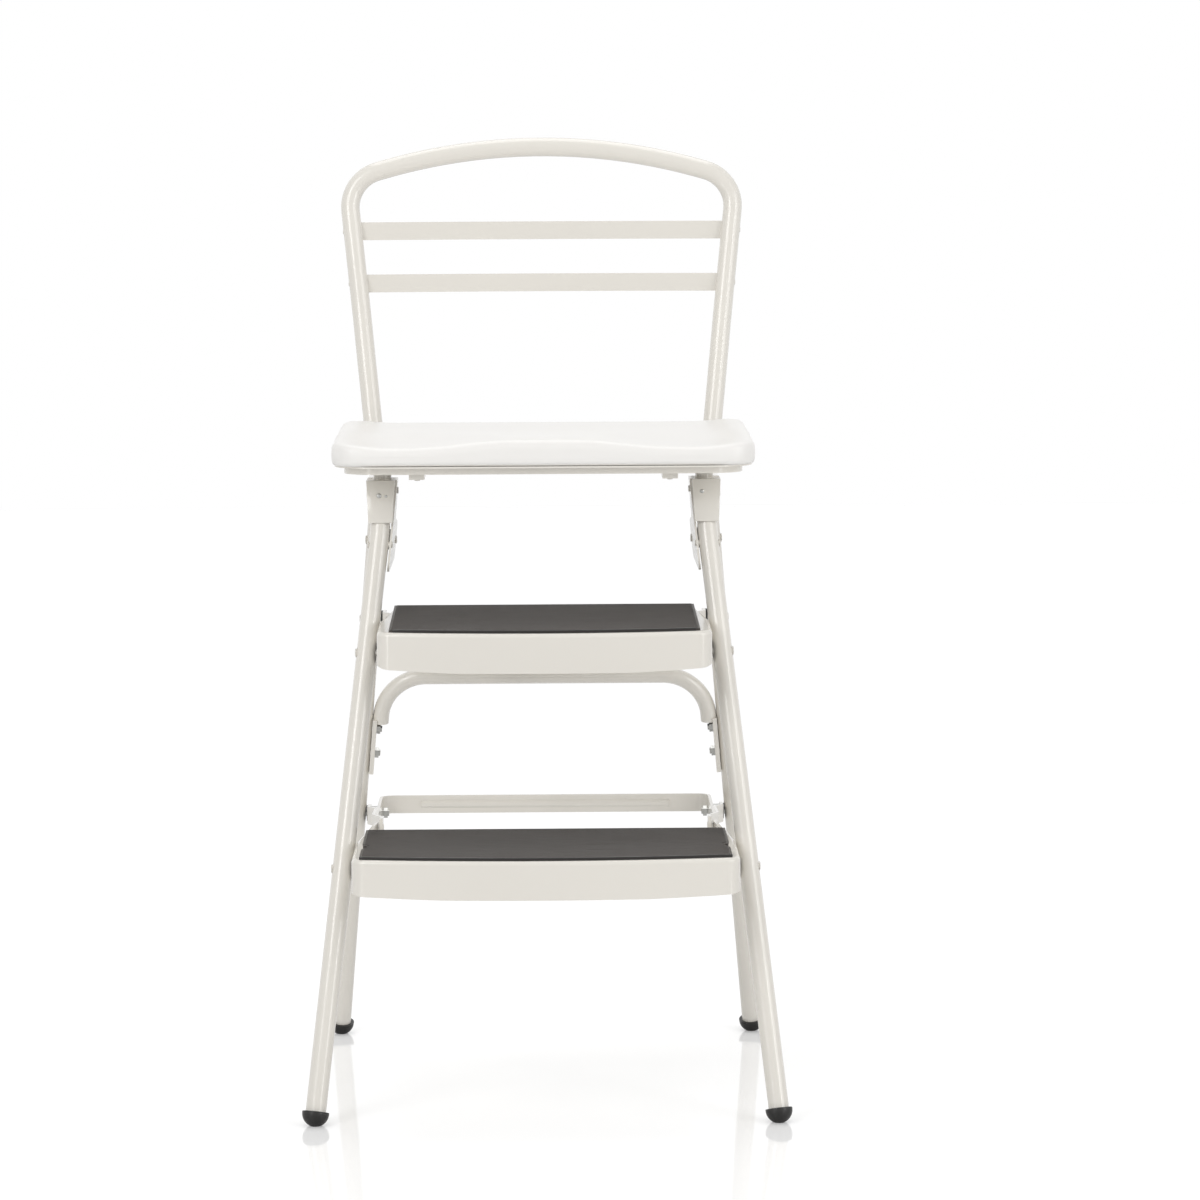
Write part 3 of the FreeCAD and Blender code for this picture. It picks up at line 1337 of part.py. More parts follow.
hinge_y = size("seat_hinge_y")
hinge_z = size("seat_hinge_z")
eye = size("hinge_eye")
eye_round = size("hinge_eye") - 1.0
foot_z = size("rail_z") - size("hinge_foot_drop")
neck_z = hinge_z - size("hinge_neck_drop")
ear_z = size("pan_low_z") - 0.75 * size("hinge_ear_drop")
seat_ears = []
seat_pins = []
seat_screws = []
for word, side in SIDES:
    plate_out = size("hinge_plate_half")
    label = "seat_hinge_plate_" + word
    body = new_body(label + "_body")
    sk = new_sketch(body, label + "_sketch", "YZ_Plane", side * plate_out)
    draw_round_loop(sk, [(hinge_y - size("hinge_foot_front"), foot_z), (hinge_y + size("hinge_foot_rear"), foot_z),
                         (hinge_y + size("hinge_foot_rear"), neck_z), (hinge_y + eye, hinge_z + eye),
                         (hinge_y - eye, hinge_z + eye), (hinge_y - size("hinge_neck_front"), neck_z)],
                    [3, 3, 10, eye_round, eye_round, 6])
    pad(body, label + "_sheet", sk, "sizes.bracket_sheet", backwards=(side > 0))
    hole = drill(label + "_drill", side * plate_out, hinge_y, hinge_z, "sizes.seat_pin_dia + 2 * sizes.run_gap")
    finish(cut(label + "_cut", body, hole), label)

    label = "seat_hinge_ear_" + word
    body = new_body(label + "_body")
    ear_out = plate_out - size("bracket_sheet") - gap
    front_y = hinge_y - size("hinge_ear_length")
    sk = new_sketch(body, label + "_sketch", "YZ_Plane", side * ear_out)
    draw_round_loop(sk, [(front_y, size("pan_low_z")), (front_y, ear_z), (hinge_y + 2, ear_z),
                         (hinge_y + eye, hinge_z + eye), (hinge_y - eye, hinge_z + eye),
                         (hinge_y - 2 * eye, size("pan_low_z"))],
                    [0, 4, eye_round, eye_round, eye_round, 0])
    pad(body, label + "_sheet", sk, "sizes.bracket_sheet", backwards=(side > 0))
    hole = drill(label + "_drill", side * ear_out, hinge_y, hinge_z, "sizes.seat_pin_dia")
    seat_ears.append(cut(label + "_cut", body, hole))
    seat_pins.append(rivet("seat_pin_" + word, Vec(side * (ear_out - size("bracket_sheet")), hinge_y, hinge_z),
                           Vec(side * (plate_out + gap), hinge_y, hinge_z), "sizes.seat_pin_dia",
                           "sizes.rivet_head_dia", "sizes.stud_head"))
    for number, y in enumerate((batten_front + size("seat_screw_front"), batten_rear - size("seat_screw_rear"))):
        head_at = Vec(side * (size("batten_in") + size("batten_out")) / 2, y, size("batten_low_z"))
        seat_screws.append(cone("seat_screw_%d_%s" % (number, word), "sizes.nut_across * 0.45",
                                "sizes.nut_across * 0.25", "sizes.stud_head", head_at, Vec(0, 0, -1)))
group("seat_hinge_ears", seat_ears)
group("seat_hinge_pins", seat_pins)
group("seat_screws", seat_screws)

# Slat rivets hold each slat end to its upright

slat_rivets = []
for tag, z in (("upper", size("slat_high_z")), ("lower", size("slat_low_z"))):
    for word, side in SIDES:
        share = (z - size("back_mid_z")) / (size("back_corner_z") - size("back_mid_z"))
        x = size("back_mid_x") + share * (size("back_corner_x") - size("back_mid_x"))
        y = size("back_mid_y") + share * (size("back_corner_y") - size("back_mid_y"))
        base = Vec(side * (x + size("back_dia") / 2 - size("slat_head_sink")), y, z)
        dome = cone("slat_dome_%s_%s" % (tag, word), "sizes.rivet_head_dia * 0.45",
                    "sizes.rivet_head_dia * 0.25", "sizes.slat_head + sizes.slat_head_sink", base, RIGHT * side)
        slat_rivets.append(cut("slat_rivet_%s_%s" % (tag, word), dome, back_outer))
group("slat_rivets", slat_rivets)

doc.recompute()
for obj in doc.Objects:
    bad = [word for word in obj.State if word in ("Invalid", "Error")]
    if bad:
        raise RuntimeError("%s is %s" % (obj.Label, bad))
for label, obj in made.items():
    shape = obj.Shape
    if shape.isNull() or not shape.isValid() or not shape.Solids:
        raise RuntimeError("bad shape: " + label)
    shape.exportStep("parts/%s.step" % label)
    bounds = shape.BoundBox
    print("%-24s solids %2d  x %7.1f %7.1f  y %7.1f %7.1f  z %6.1f %6.1f" % (
        label, len(shape.Solids), bounds.XMin, bounds.XMax, bounds.YMin, bounds.YMax, bounds.ZMin, bounds.ZMax))
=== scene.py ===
"""Folding step stool chair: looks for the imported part, laid out as an add-on."""

import math

import bmesh
import bpy
from bpy.props import FloatProperty, FloatVectorProperty, PointerProperty
from mathutils import Matrix, Vector


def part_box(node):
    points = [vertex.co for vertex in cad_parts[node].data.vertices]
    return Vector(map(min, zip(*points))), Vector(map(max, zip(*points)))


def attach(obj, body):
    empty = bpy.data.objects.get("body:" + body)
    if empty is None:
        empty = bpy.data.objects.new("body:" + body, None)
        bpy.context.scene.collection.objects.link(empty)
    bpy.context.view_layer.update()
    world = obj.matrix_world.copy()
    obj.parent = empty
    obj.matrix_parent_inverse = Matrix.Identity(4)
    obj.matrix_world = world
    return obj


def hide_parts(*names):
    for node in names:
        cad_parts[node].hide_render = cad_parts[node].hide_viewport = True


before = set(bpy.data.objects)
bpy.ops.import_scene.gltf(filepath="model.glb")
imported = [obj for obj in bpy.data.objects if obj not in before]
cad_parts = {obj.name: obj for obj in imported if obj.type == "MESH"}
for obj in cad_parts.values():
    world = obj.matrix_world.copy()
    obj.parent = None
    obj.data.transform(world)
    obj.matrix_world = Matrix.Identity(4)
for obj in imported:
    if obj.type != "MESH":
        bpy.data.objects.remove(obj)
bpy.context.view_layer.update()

bl_info = {
    "name": "Folding Step Stool Chair",
    "version": (1, 0, 0),
    "blender": (4, 5, 0),
    "location": "3D View > Sidebar > Step Stool",
    "description": "Builds the seat, treads, leg covers and finishes of a folding step stool chair",
    "category": "Object",
}

SEAT_LOW, SEAT_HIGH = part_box("seat_shell")
FINISH_NODES = {
    "enamel": (
        "front_leg_left", "front_leg_right", "rear_leg_left", "rear_leg_right",
        "side_bracket_left", "side_bracket_right", "bracket_rivets", "back_tube",
        "backrest_slat_upper", "backrest_slat_lower", "slat_rivets", "arch_brace",
        "crossbar", "crossbar_rivets", "lower_step_pan", "upper_step_pan",
        "lower_step_arm_left", "lower_step_arm_right", "step_arm_rivets",
        "lower_link_left", "lower_link_right", "upper_link_left", "upper_link_right",
        "lower_link_studs", "upper_link_studs", "seat_tray", "seat_battens",
        "step_pivot_rivets", "swing_rivets", "link_pivot_rivets", "seat_screws",
        "seat_rest_pads",
    ),
    "zinc": (
        "arch_bolts", "arch_nuts", "crossbar_bolts", "crossbar_nuts", "crossbar_spacers",
        "seat_hinge_pins", "seat_hinge_plate_left", "seat_hinge_plate_right",
        "seat_hinge_ears",
    ),
    "washer": ("step_pivot_washers", "link_pivot_washers", "swing_spacers"),
    "rubber": ("front_foot_left", "front_foot_right", "rear_foot_left", "rear_foot_right"),
}
STRAIGHT = (1.0, 1.0, 1.0)
STREAKED = (0.02, 1.0, 1.0)
# Each finish but its colour; the enamel's roughness is a setting
SURFACES = {
    "enamel": {"title": "Cream Enamel", "shade": 0.965, "cloud": 9.0, "grain": 900.0,
               "bump": 0.05, "coat": 0.6},
    "seat": {"title": "Moulded Plastic", "shade": 0.975, "rough": 0.32, "cloud": 7.0,
             "grain": 1400.0, "bump": 0.10},
    "vinyl": {"title": "Tread Vinyl", "shade": 0.55, "rough": 0.42, "cloud": 420.0,
              "grain": 1600.0, "bump": 0.35, "stretch": STREAKED},
    # The tread edge is the vinyl made darker: painted shade on the mats' front face
    "lip": {"title": "Tread Edge", "shade": 0.7, "rough": 0.3, "cloud": 30.0,
            "grain": 1500.0, "bump": 0.2},
    "rubber": {"title": "Tip Rubber", "shade": 0.6, "rough": 0.35, "cloud": 60.0,
               "grain": 1200.0, "bump": 0.2},
    "washer": {"title": "Black Washer", "shade": 0.7, "rough": 0.45, "cloud": 60.0,
               "grain": 1500.0, "bump": 0.1},
    "zinc": {"title": "Zinc Plate", "shade": 0.75, "rough": 0.3, "cloud": 140.0,
             "grain": 2500.0, "bump": 0.1, "metallic": 1.0},
}
# Share of the vinyl colour given to the tread edge: painted shade on the mats' front face
LIP_PAINTED_SHADE = 0.25
WASHER_COLOUR = (0.02, 0.02, 0.02)
COAT_BLUR = 0.08
BLUR_SPREAD = (0.8, 1.25)
RELIEF_DEPTH = 0.0004
CLOUD_DETAIL = 3.0
GRAIN_DETAIL = 2.0
SHARP = math.radians(40)

# Seat: voxel size, steps of its rounded edges and its smoothing passes
SEAT_GRAIN = 0.003
CORNER_STEPS = 10
RIM_STEPS = 5
LOW_RIM_SHARE = 0.2
LOW_RIM_STEPS = 2
SMOOTH_FACTOR = 0.5
FIRST_PASSES = 6
LAST_PASSES = 4
SEAT_SMOOTH_ANGLE = 60.0
NEAR_SIDE = 0.001
NEAR_LEVEL = 0.0004
# Each move of the seat's top: size of what moves fully, and how far the rest follows
POMMEL_SPOT = (0.02, 0.09)
SIDE_BAND = (0.006, 0.05)
REAR_BAND = (0.01, 0.13)
THIGH_PLACE = (0.14, -0.08)
THIGH_SPOT = (0.025, 0.085)

# Tread: name, node it stands for, body, sink of the bowed front, tilt about the pivot,
# pivot y and z, and y of the notches in its ends
TREADS = (
    ("lower_tread", "lower_step_mat", "lower_step", 0.01376, 0.0, (-0.134, 0.230), -0.178),
    ("upper_tread", "upper_step_mat", "upper_step", 0.01203, 2.0, (-0.075, 0.427), None),
)
# Half width, front y, rear y and height of each tread before it is tilted
TREAD_SIZES = {
    "lower_tread": (0.1705, -0.2550, -0.0800, 0.2560),
    "upper_tread": (0.1446, -0.1690, 0.0100, 0.4583),
}
TREAD_STEPS = 20
TREAD_SMOOTH_ANGLE = 30.0
TOOL_HEIGHT = 0.03
RIB_SINK = 0.0003
RIB_SHARE = 0.55
RIB_CHAMFER = 0.12
NOTCH_HALF_LENGTH = 0.017
NOTCH_SQUASH = 0.44
PIN_RADIUS = 0.0017
PIN_HEIGHT = 0.0026
PIN_INSET = 0.0026
PIN_STEPS = 20
LIP_SINK = 0.0002
LIP_RISE = 0.0004
LIP_ROUND = 0.3
LIP_STEPS = 3
LIP_PAST_END = 0.001
LIP_PAST_SINK = 0.002

# Leg cover: inner and outer x at its top and foot, heights, front and rear y at its top
COVER_TOP = (0.1416, 0.1689)
COVER_FOOT = (0.1440, 0.1669)
COVER_HEIGHTS = (0.5480, 0.5876)
COVER_DEPTH = (-0.0379, -0.0303)
COVER_LEAN = -0.0118
COVER_WALL = 0.0016
COVER_ROUND = 0.0005
COVER_STEPS = 2
# How far the hollow runs past the cover's foot and rear, in walls
HOLLOW_PAST_FOOT = 3
HOLLOW_PAST_REAR = 5
# Heads on the covers: x, z, radius
COVER_HEADS = ((-0.1566, 0.5734, 0.0024), (-0.1500, 0.5730, 0.0013), (0.1510, 0.5760, 0.0021))
HEAD_SQUASH = 0.45
HEAD_STEPS = (20, 12)

# Stage: floor, then each light's place, width and height
FLOOR_SPAN = 14
FLOOR_TONE = 0.9
FLOOR_BLUR = 0.06
FLOOR_GLOW = 0.22
LIGHTS = {
    "key": ((-1.8, -2.4, 2.2), 1.6, 1.6),
    "fill": ((2.2, -1.6, 1.3), 1.6, 1.6),
    "top": ((0.0, 0.6, 2.8), 1.8, 1.8),
    "strip_left": ((-1.5, -2.0, 0.7), 0.16, 1.8),
    "strip_right": ((1.7, -1.7, 0.7), 0.16, 1.8),
}
LIGHTS_AIM = (0, 0, 0.45)
SENSOR_WIDTH = 36


class StoolFinish(bpy.types.PropertyGroup):
    """Colours and gloss of the painted, moulded and rubber parts."""

    enamel: FloatVectorProperty(
        name="Enamel", description="Warm white paint on all tube and sheet",
        subtype="COLOR", size=3, min=0, max=1, default=(0.80, 0.768, 0.705))
    enamel_gloss: FloatProperty(
        name="Enamel roughness", description="How blurred the paint's reflections are",
        min=0, max=1, default=0.2)
    seat: FloatVectorProperty(
        name="Seat plastic", description="Moulded seat", subtype="COLOR", size=3,
        min=0, max=1, default=(0.90, 0.885, 0.858))
    vinyl: FloatVectorProperty(
        name="Tread vinyl", description="Ribbed tread mats", subtype="COLOR", size=3,
        min=0, max=1, default=(0.050, 0.041, 0.034))
    rubber: FloatVectorProperty(
        name="Tip rubber", description="Floor tips", subtype="COLOR", size=3,
        min=0, max=1, default=(0.012, 0.011, 0.010))
    zinc: FloatVectorProperty(
        name="Zinc", description="Plated bolts, nuts and hinge plates", subtype="COLOR",
        size=3, min=0, max=1, default=(0.55, 0.55, 0.53))


class StoolShape(bpy.types.PropertyGroup):
    """Sizes of the modelled pieces."""

    seat_thick: FloatProperty(
        name="Seat thickness", description="Height of the seat before it is shaped",
        subtype="DISTANCE", unit="LENGTH", default=0.0237)
    seat_wide: FloatProperty(
        name="Seat overhang", description="How far the seat stands past its drawn sides",
        subtype="DISTANCE", unit="LENGTH", default=0.001)
    seat_front_corner: FloatProperty(
        name="Seat front corner", description="Corner radius at the front, seen from above",
        subtype="DISTANCE", unit="LENGTH", default=0.03)
    seat_rear_corner: FloatProperty(
        name="Seat rear corner", description="Corner radius at the rear, seen from above",
        subtype="DISTANCE", unit="LENGTH", default=0.03)
    seat_rim: FloatProperty(
        name="Seat rim", description="Rounding of the top edge",
        subtype="DISTANCE", unit="LENGTH", default=0.006)
    seat_dish: FloatProperty(
        name="Seat dish", description="How far the place of each thigh sinks",
        subtype="DISTANCE", unit="LENGTH", default=0.006)
    seat_pommel: FloatProperty(
        name="Seat pommel", description="How far the middle of the front edge rises",
        subtype="DISTANCE", unit="LENGTH", default=0.0015)
    seat_side: FloatProperty(
        name="Seat sides", description="How far both side edges rise",
        subtype="DISTANCE", unit="LENGTH", default=0.003)
    seat_rear: FloatProperty(
        name="Seat rear", description="How far the rear edge rises",
        subtype="DISTANCE", unit="LENGTH", default=0.0025)
    rib_pitch: FloatProperty(
        name="Rib pitch", description="Distance between the fine ribs of a tread",
        subtype="DISTANCE", unit="LENGTH", default=0.0032)
    rib_height: FloatProperty(
        name="Rib height", description="Height of a tread rib",
        subtype="DISTANCE", unit="LENGTH", default=0.0006)
    mat_base: FloatProperty(
        name="Mat thickness", description="Thickness of a tread mat below its ribs",
        subtype="DISTANCE", unit="LENGTH", default=0.002)
    mat_margin: FloatProperty(
        name="Mat margin", description="Plain border round the ribs",
        subtype="DISTANCE", unit="LENGTH", default=0.0022)
    lip_width: FloatProperty(
        name="Front edge width", description="Width of the smooth strip along a tread's front",
        subtype="DISTANCE", unit="LENGTH", default=0.0026)


class StoolStage(bpy.types.PropertyGroup):
    """Camera place and light strength."""

    lens: FloatProperty(
        name="Lens", description="Focal length on a 36 mm sensor", default=126.69)
    camera_place: FloatVectorProperty(
        name="Camera place", description="Where the camera stands", subtype="TRANSLATION",
        size=3, default=(-0.0027, -4.054, 0.881))
    camera_pitch: FloatProperty(
        name="Camera pitch", description="Angle below the horizon", subtype="ANGLE",
        default=math.radians(5.813))
    camera_yaw: FloatProperty(
        name="Camera yaw", description="Turn to the right", subtype="ANGLE",
        default=math.radians(0.799))
    camera_roll: FloatProperty(
        name="Camera roll", description="Tilt of the picture", subtype="ANGLE",
        default=math.radians(-0.277))
    key_power: FloatProperty(
        name="Key power", description="Large soft light from the left front", default=26.0)
    fill_power: FloatProperty(
        name="Fill power", description="Soft light from the right", default=14.0)
    top_power: FloatProperty(
        name="Top power", description="Soft light from above", default=16.0)
    strip_power: FloatProperty(
        name="Strip power", description="Tall narrow lights on both sides", default=4.0)
    sky: FloatProperty(
        name="Sky strength", description="Even light from all round", default=0.55)


# Small modelling helpers


def clear_selection():
    """Leave edit mode and select nothing."""
    if bpy.context.object and bpy.context.object.mode != "OBJECT":
        bpy.ops.object.mode_set(mode="OBJECT")
    bpy.ops.object.select_all(action="DESELECT")


def select_where(obj, test, kind="FACE"):
    """In edit mode, select the faces, edges or vertices whose middle passes the test."""
    bpy.ops.mesh.select_mode(type=kind)
    bpy.ops.mesh.select_all(action="DESELECT")
    mesh = bmesh.from_edit_mesh(obj.data)
    if kind == "VERT":
        for vert in mesh.verts:
            vert.select_set(test(vert.co))
    elif kind == "EDGE":
        for edge in mesh.edges:
            edge.select_set(test((edge.verts[0].co + edge.verts[1].co) / 2, edge))
    else:
        for face in mesh.faces:
            face.select_set(test(face.calc_center_median(), face.normal))
    bmesh.update_edit_mesh(obj.data)


def upright(edge):
    """True for an edge that runs along Z."""
    return abs(edge.verts[0].co.z - edge.verts[1].co.z) > NEAR_SIDE


def apply_modifier(obj, kind, **values):
    """Add a modifier with these values and apply it."""
    modifier = obj.modifiers.new(kind.title(), kind)
    for key, value in values.items():
        setattr(modifier, key, value)
    bpy.context.view_layer.objects.active = obj
    bpy.ops.object.modifier_apply(modifier=modifier.name)


def add_box(name, low, high):
    """A box between two corners."""
    middle = [(a + b) / 2 for a, b in zip(low, high)]
    clear_selection()
    bpy.ops.mesh.primitive_cube_add(size=1, location=middle)
    obj = bpy.context.object
    obj.name = name
    obj.scale = [b - a for a, b in zip(low, high)]
    place_into_mesh(obj)
    return obj


def combine(obj, tool, operation):
    """Cut or intersect obj with tool and remove the tool."""
    apply_modifier(obj, "BOOLEAN", object=tool, operation=operation, solver="EXACT")
    clear_selection()
    tool.select_set(True)
    bpy.ops.object.delete()


def join_pieces(pieces):
    """Several loose meshes as one object."""
    clear_selection()
    for piece in pieces:
        piece.select_set(True)
    bpy.context.view_layer.objects.active = pieces[0]
    bpy.ops.object.join()
    return pieces[0]


def place_into_mesh(obj):
    """Move the object's place, turn and scale into its mesh."""
    clear_selection()
    obj.select_set(True)
    bpy.context.view_layer.objects.active = obj
    bpy.ops.object.transform_apply(location=True, rotation=True, scale=True)


def settle(obj, name, body, material, angle=35.0):
    """Name a finished piece, shade it and hang it on its body."""
    place_into_mesh(obj)
    obj.name = name
    obj.data.name = name
    bpy.ops.object.shade_smooth_by_angle(angle=math.radians(angle))
    obj.data.materials.clear()
    obj.data.materials.append(material)
    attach(obj, body)
    return obj


# Materials


def wear_group():
    """Shared group: slow cloudy tone, fine grain and a height for paint and plastic."""
    name = "Surface Grain"
    if name in bpy.data.node_groups:
        return bpy.data.node_groups[name]
    group = bpy.data.node_groups.new(name, "ShaderNodeTree")
    face = group.interface
    face.new_socket("Cloud Size", in_out="INPUT", socket_type="NodeSocketFloat")
    face.new_socket("Grain Size", in_out="INPUT", socket_type="NodeSocketFloat")
    face.new_socket("Stretch", in_out="INPUT", socket_type="NodeSocketVector")
    face.new_socket("Cloud", in_out="OUTPUT", socket_type="NodeSocketFloat")
    face.new_socket("Grain", in_out="OUTPUT", socket_type="NodeSocketFloat")
    nodes = group.nodes
    links = group.links
    start = nodes.new("NodeGroupInput")
    end = nodes.new("NodeGroupOutput")
    place = nodes.new("ShaderNodeTexCoord")
    cloud = nodes.new("ShaderNodeTexNoise")
    cloud.inputs["Detail"].default_value = CLOUD_DETAIL
    grain = nodes.new("ShaderNodeTexNoise")
    grain.inputs["Detail"].default_value = GRAIN_DETAIL
    spread = nodes.new("ShaderNodeVectorMath")
    spread.operation = "MULTIPLY"
    links.new(place.outputs["Object"], spread.inputs[0])
    links.new(start.outputs["Stretch"], spread.inputs[1])
    links.new(spread.outputs["Vector"], cloud.inputs["Vector"])
    links.new(spread.outputs["Vector"], grain.inputs["Vector"])
    links.new(start.outputs["Cloud Size"], cloud.inputs["Scale"])
    links.new(start.outputs["Grain Size"], grain.inputs["Scale"])
    links.new(cloud.outputs["Fac"], end.inputs["Cloud"])
    links.new(grain.outputs["Fac"], end.inputs["Grain"])
    return group


def ramp_to(material, source, low, high, target):
    """Send a 0 to 1 mask to a socket as a value from low to high."""
    nodes = material.node_tree.nodes
    step = nodes.new("ShaderNodeMapRange")
    step.inputs["To Min"].default_value = low
    step.inputs["To Max"].default_value = high
    material.node_tree.links.new(source, step.inputs["Value"])
    material.node_tree.links.new(step.outputs["Result"], target)


def grained_material(title, colour, shade, rough, cloud, grain, bump, metallic=0.0, coat=0.0,
                     stretch=STRAIGHT):
    """A surface with a cloudy tone, a grain in its gloss and a fine relief."""
    material = bpy.data.materials.new(title)
    material.use_nodes = True
    nodes = material.node_tree.nodes
    links = material.node_tree.links
    shader = nodes["Principled BSDF"]
    shader.inputs["Metallic"].default_value = metallic
    shader.inputs["Coat Weight"].default_value = coat
    shader.inputs["Coat Roughness"].default_value = COAT_BLUR
    group = nodes.new("ShaderNodeGroup")
    group.node_tree = wear_group()
    group.inputs["Cloud Size"].default_value = cloud
    group.inputs["Grain Size"].default_value = grain
    group.inputs["Stretch"].default_value = stretch
    mix = nodes.new("ShaderNodeMix")
    mix.data_type = "RGBA"
    mix.inputs["A"].default_value = (*[channel * shade for channel in colour], 1)
    mix.inputs["B"].default_value = (*colour, 1)
    links.new(group.outputs["Cloud"], mix.inputs["Factor"])
    links.new(mix.outputs["Result"], shader.inputs["Base Color"])
    low, high = (rough * share for share in BLUR_SPREAD)
    ramp_to(material, group.outputs["Grain"], low, high, shader.inputs["Roughness"])
    relief = nodes.new("ShaderNodeBump")
    relief.inputs["Strength"].default_value = bump
    relief.inputs["Distance"].default_value = RELIEF_DEPTH
    links.new(group.outputs["Grain"], relief.inputs["Height"])
    links.new(relief.outputs["Normal"], shader.inputs["Normal"])
    return material


def finishes():
    """All the finishes, made once."""
    if SURFACES["enamel"]["title"] in bpy.data.materials:
        return {key: bpy.data.materials[row["title"]] for key, row in SURFACES.items()}
    look = bpy.context.scene.stool_finish
    vinyl = tuple(look.vinyl)
    colours = {
        "enamel": tuple(look.enamel),
        "seat": tuple(look.seat),
        "vinyl": vinyl,
        # Painted shade: the tread edge is the vinyl colour darkened
        "lip": tuple(channel * LIP_PAINTED_SHADE for channel in vinyl),
        "rubber": tuple(look.rubber),
        "washer": WASHER_COLOUR,
        "zinc": tuple(look.zinc),
    }
    made = {}
    for key, row in SURFACES.items():
        values = {"rough": look.enamel_gloss, **row}
        made[key] = grained_material(colour=colours[key], **values)
    return made


class STOOL_OT_finish(bpy.types.Operator):
    """Paint, plate and colour the parts that keep their drawn shape"""

    bl_idname = "stool.finish"
    bl_label = "Finish Frame Parts"

    def execute(self, context):
        looks = finishes()
        for key, nodes in FINISH_NODES.items():
            for node in nodes:
                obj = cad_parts[node]
                if not obj.material_slots:
                    raise RuntimeError("no material slot on " + node)
                for slot in obj.material_slots:
                    slot.material = looks[key]
        return {"FINISHED"}


class STOOL_OT_seat(bpy.types.Operator):
    """Model the moulded saddle seat"""

    bl_idname = "stool.seat"
    bl_label = "Model Seat"

    def execute(self, context):
        shape = context.scene.stool_shape
        low = Vector(SEAT_LOW) - Vector((shape.seat_wide, 0, 0))
        high = Vector(SEAT_HIGH) + Vector((shape.seat_wide, 0, 0))
        high.z = low.z + shape.seat_thick
        seat = add_box("seat_block", low, high)
        self.round_edges(seat, shape, low, high)
        apply_modifier(seat, "REMESH", mode="VOXEL", voxel_size=SEAT_GRAIN)
        apply_modifier(seat, "SMOOTH", factor=SMOOTH_FACTOR, iterations=FIRST_PASSES)
        self.shape_top(seat, shape, low, high)
        apply_modifier(seat, "SMOOTH", factor=SMOOTH_FACTOR, iterations=LAST_PASSES)
        settle(seat, "saddle_seat", "seat", finishes()["seat"],
               SEAT_SMOOTH_ANGLE)
        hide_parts("seat_shell")
        return {"FINISHED"}

    def round_edges(self, seat, shape, low, high):
        """Round the upright corners, then the top edge and a little of the bottom edge."""
        bpy.ops.object.mode_set(mode="EDIT")
        corners = ((low.y, shape.seat_front_corner), (high.y, shape.seat_rear_corner))
        for y, radius in corners:
            select_where(seat, lambda co, edge, y=y: abs(co.y - y) < NEAR_SIDE and upright(edge),
                         "EDGE")
            bpy.ops.mesh.bevel(offset=radius, segments=CORNER_STEPS, affect="EDGES")
        rims = ((high.z, shape.seat_rim, RIM_STEPS),
                (low.z, shape.seat_rim * LOW_RIM_SHARE, LOW_RIM_STEPS))
        for z, radius, steps in rims:
            select_where(seat, lambda co, edge, z=z: abs(co.z - z) < NEAR_LEVEL, "EDGE")
            bpy.ops.mesh.bevel(offset=radius, segments=steps, affect="EDGES")
        bpy.ops.object.mode_set(mode="OBJECT")

    def shape_top(self, seat, shape, low, high):
        """Raise the front middle, the sides and the rear, and sink both thigh places."""
        moves = [
            (lambda co: math.hypot(co.x, co.y - low.y) < POMMEL_SPOT[0],
             shape.seat_pommel, POMMEL_SPOT[1]),
            (lambda co: abs(co.x) > high.x - SIDE_BAND[0], shape.seat_side, SIDE_BAND[1]),
            (lambda co: co.y > high.y - REAR_BAND[0], shape.seat_rear, REAR_BAND[1]),
        ]
        for side in (-1, 1):
            place = (side * THIGH_PLACE[0], THIGH_PLACE[1])
            moves.append((
                lambda co, at=place: math.hypot(co.x - at[0], co.y - at[1]) < THIGH_SPOT[0],
                -shape.seat_dish, THIGH_SPOT[1]))
        bpy.ops.object.mode_set(mode="EDIT")
        middle = (low.z + high.z) / 2
        select_where(seat, lambda co: co.z < middle, "VERT")
        bpy.ops.mesh.hide(unselected=False)
        for test, lift, reach in moves:
            select_where(seat, lambda co, t=test: co.z > middle and t(co), "VERT")
            bpy.ops.transform.translate(value=(0, 0, lift), use_proportional_edit=True,
                                        proportional_edit_falloff="SMOOTH",
                                        proportional_size=reach)
        bpy.ops.mesh.reveal()
        bpy.ops.object.mode_set(mode="OBJECT")


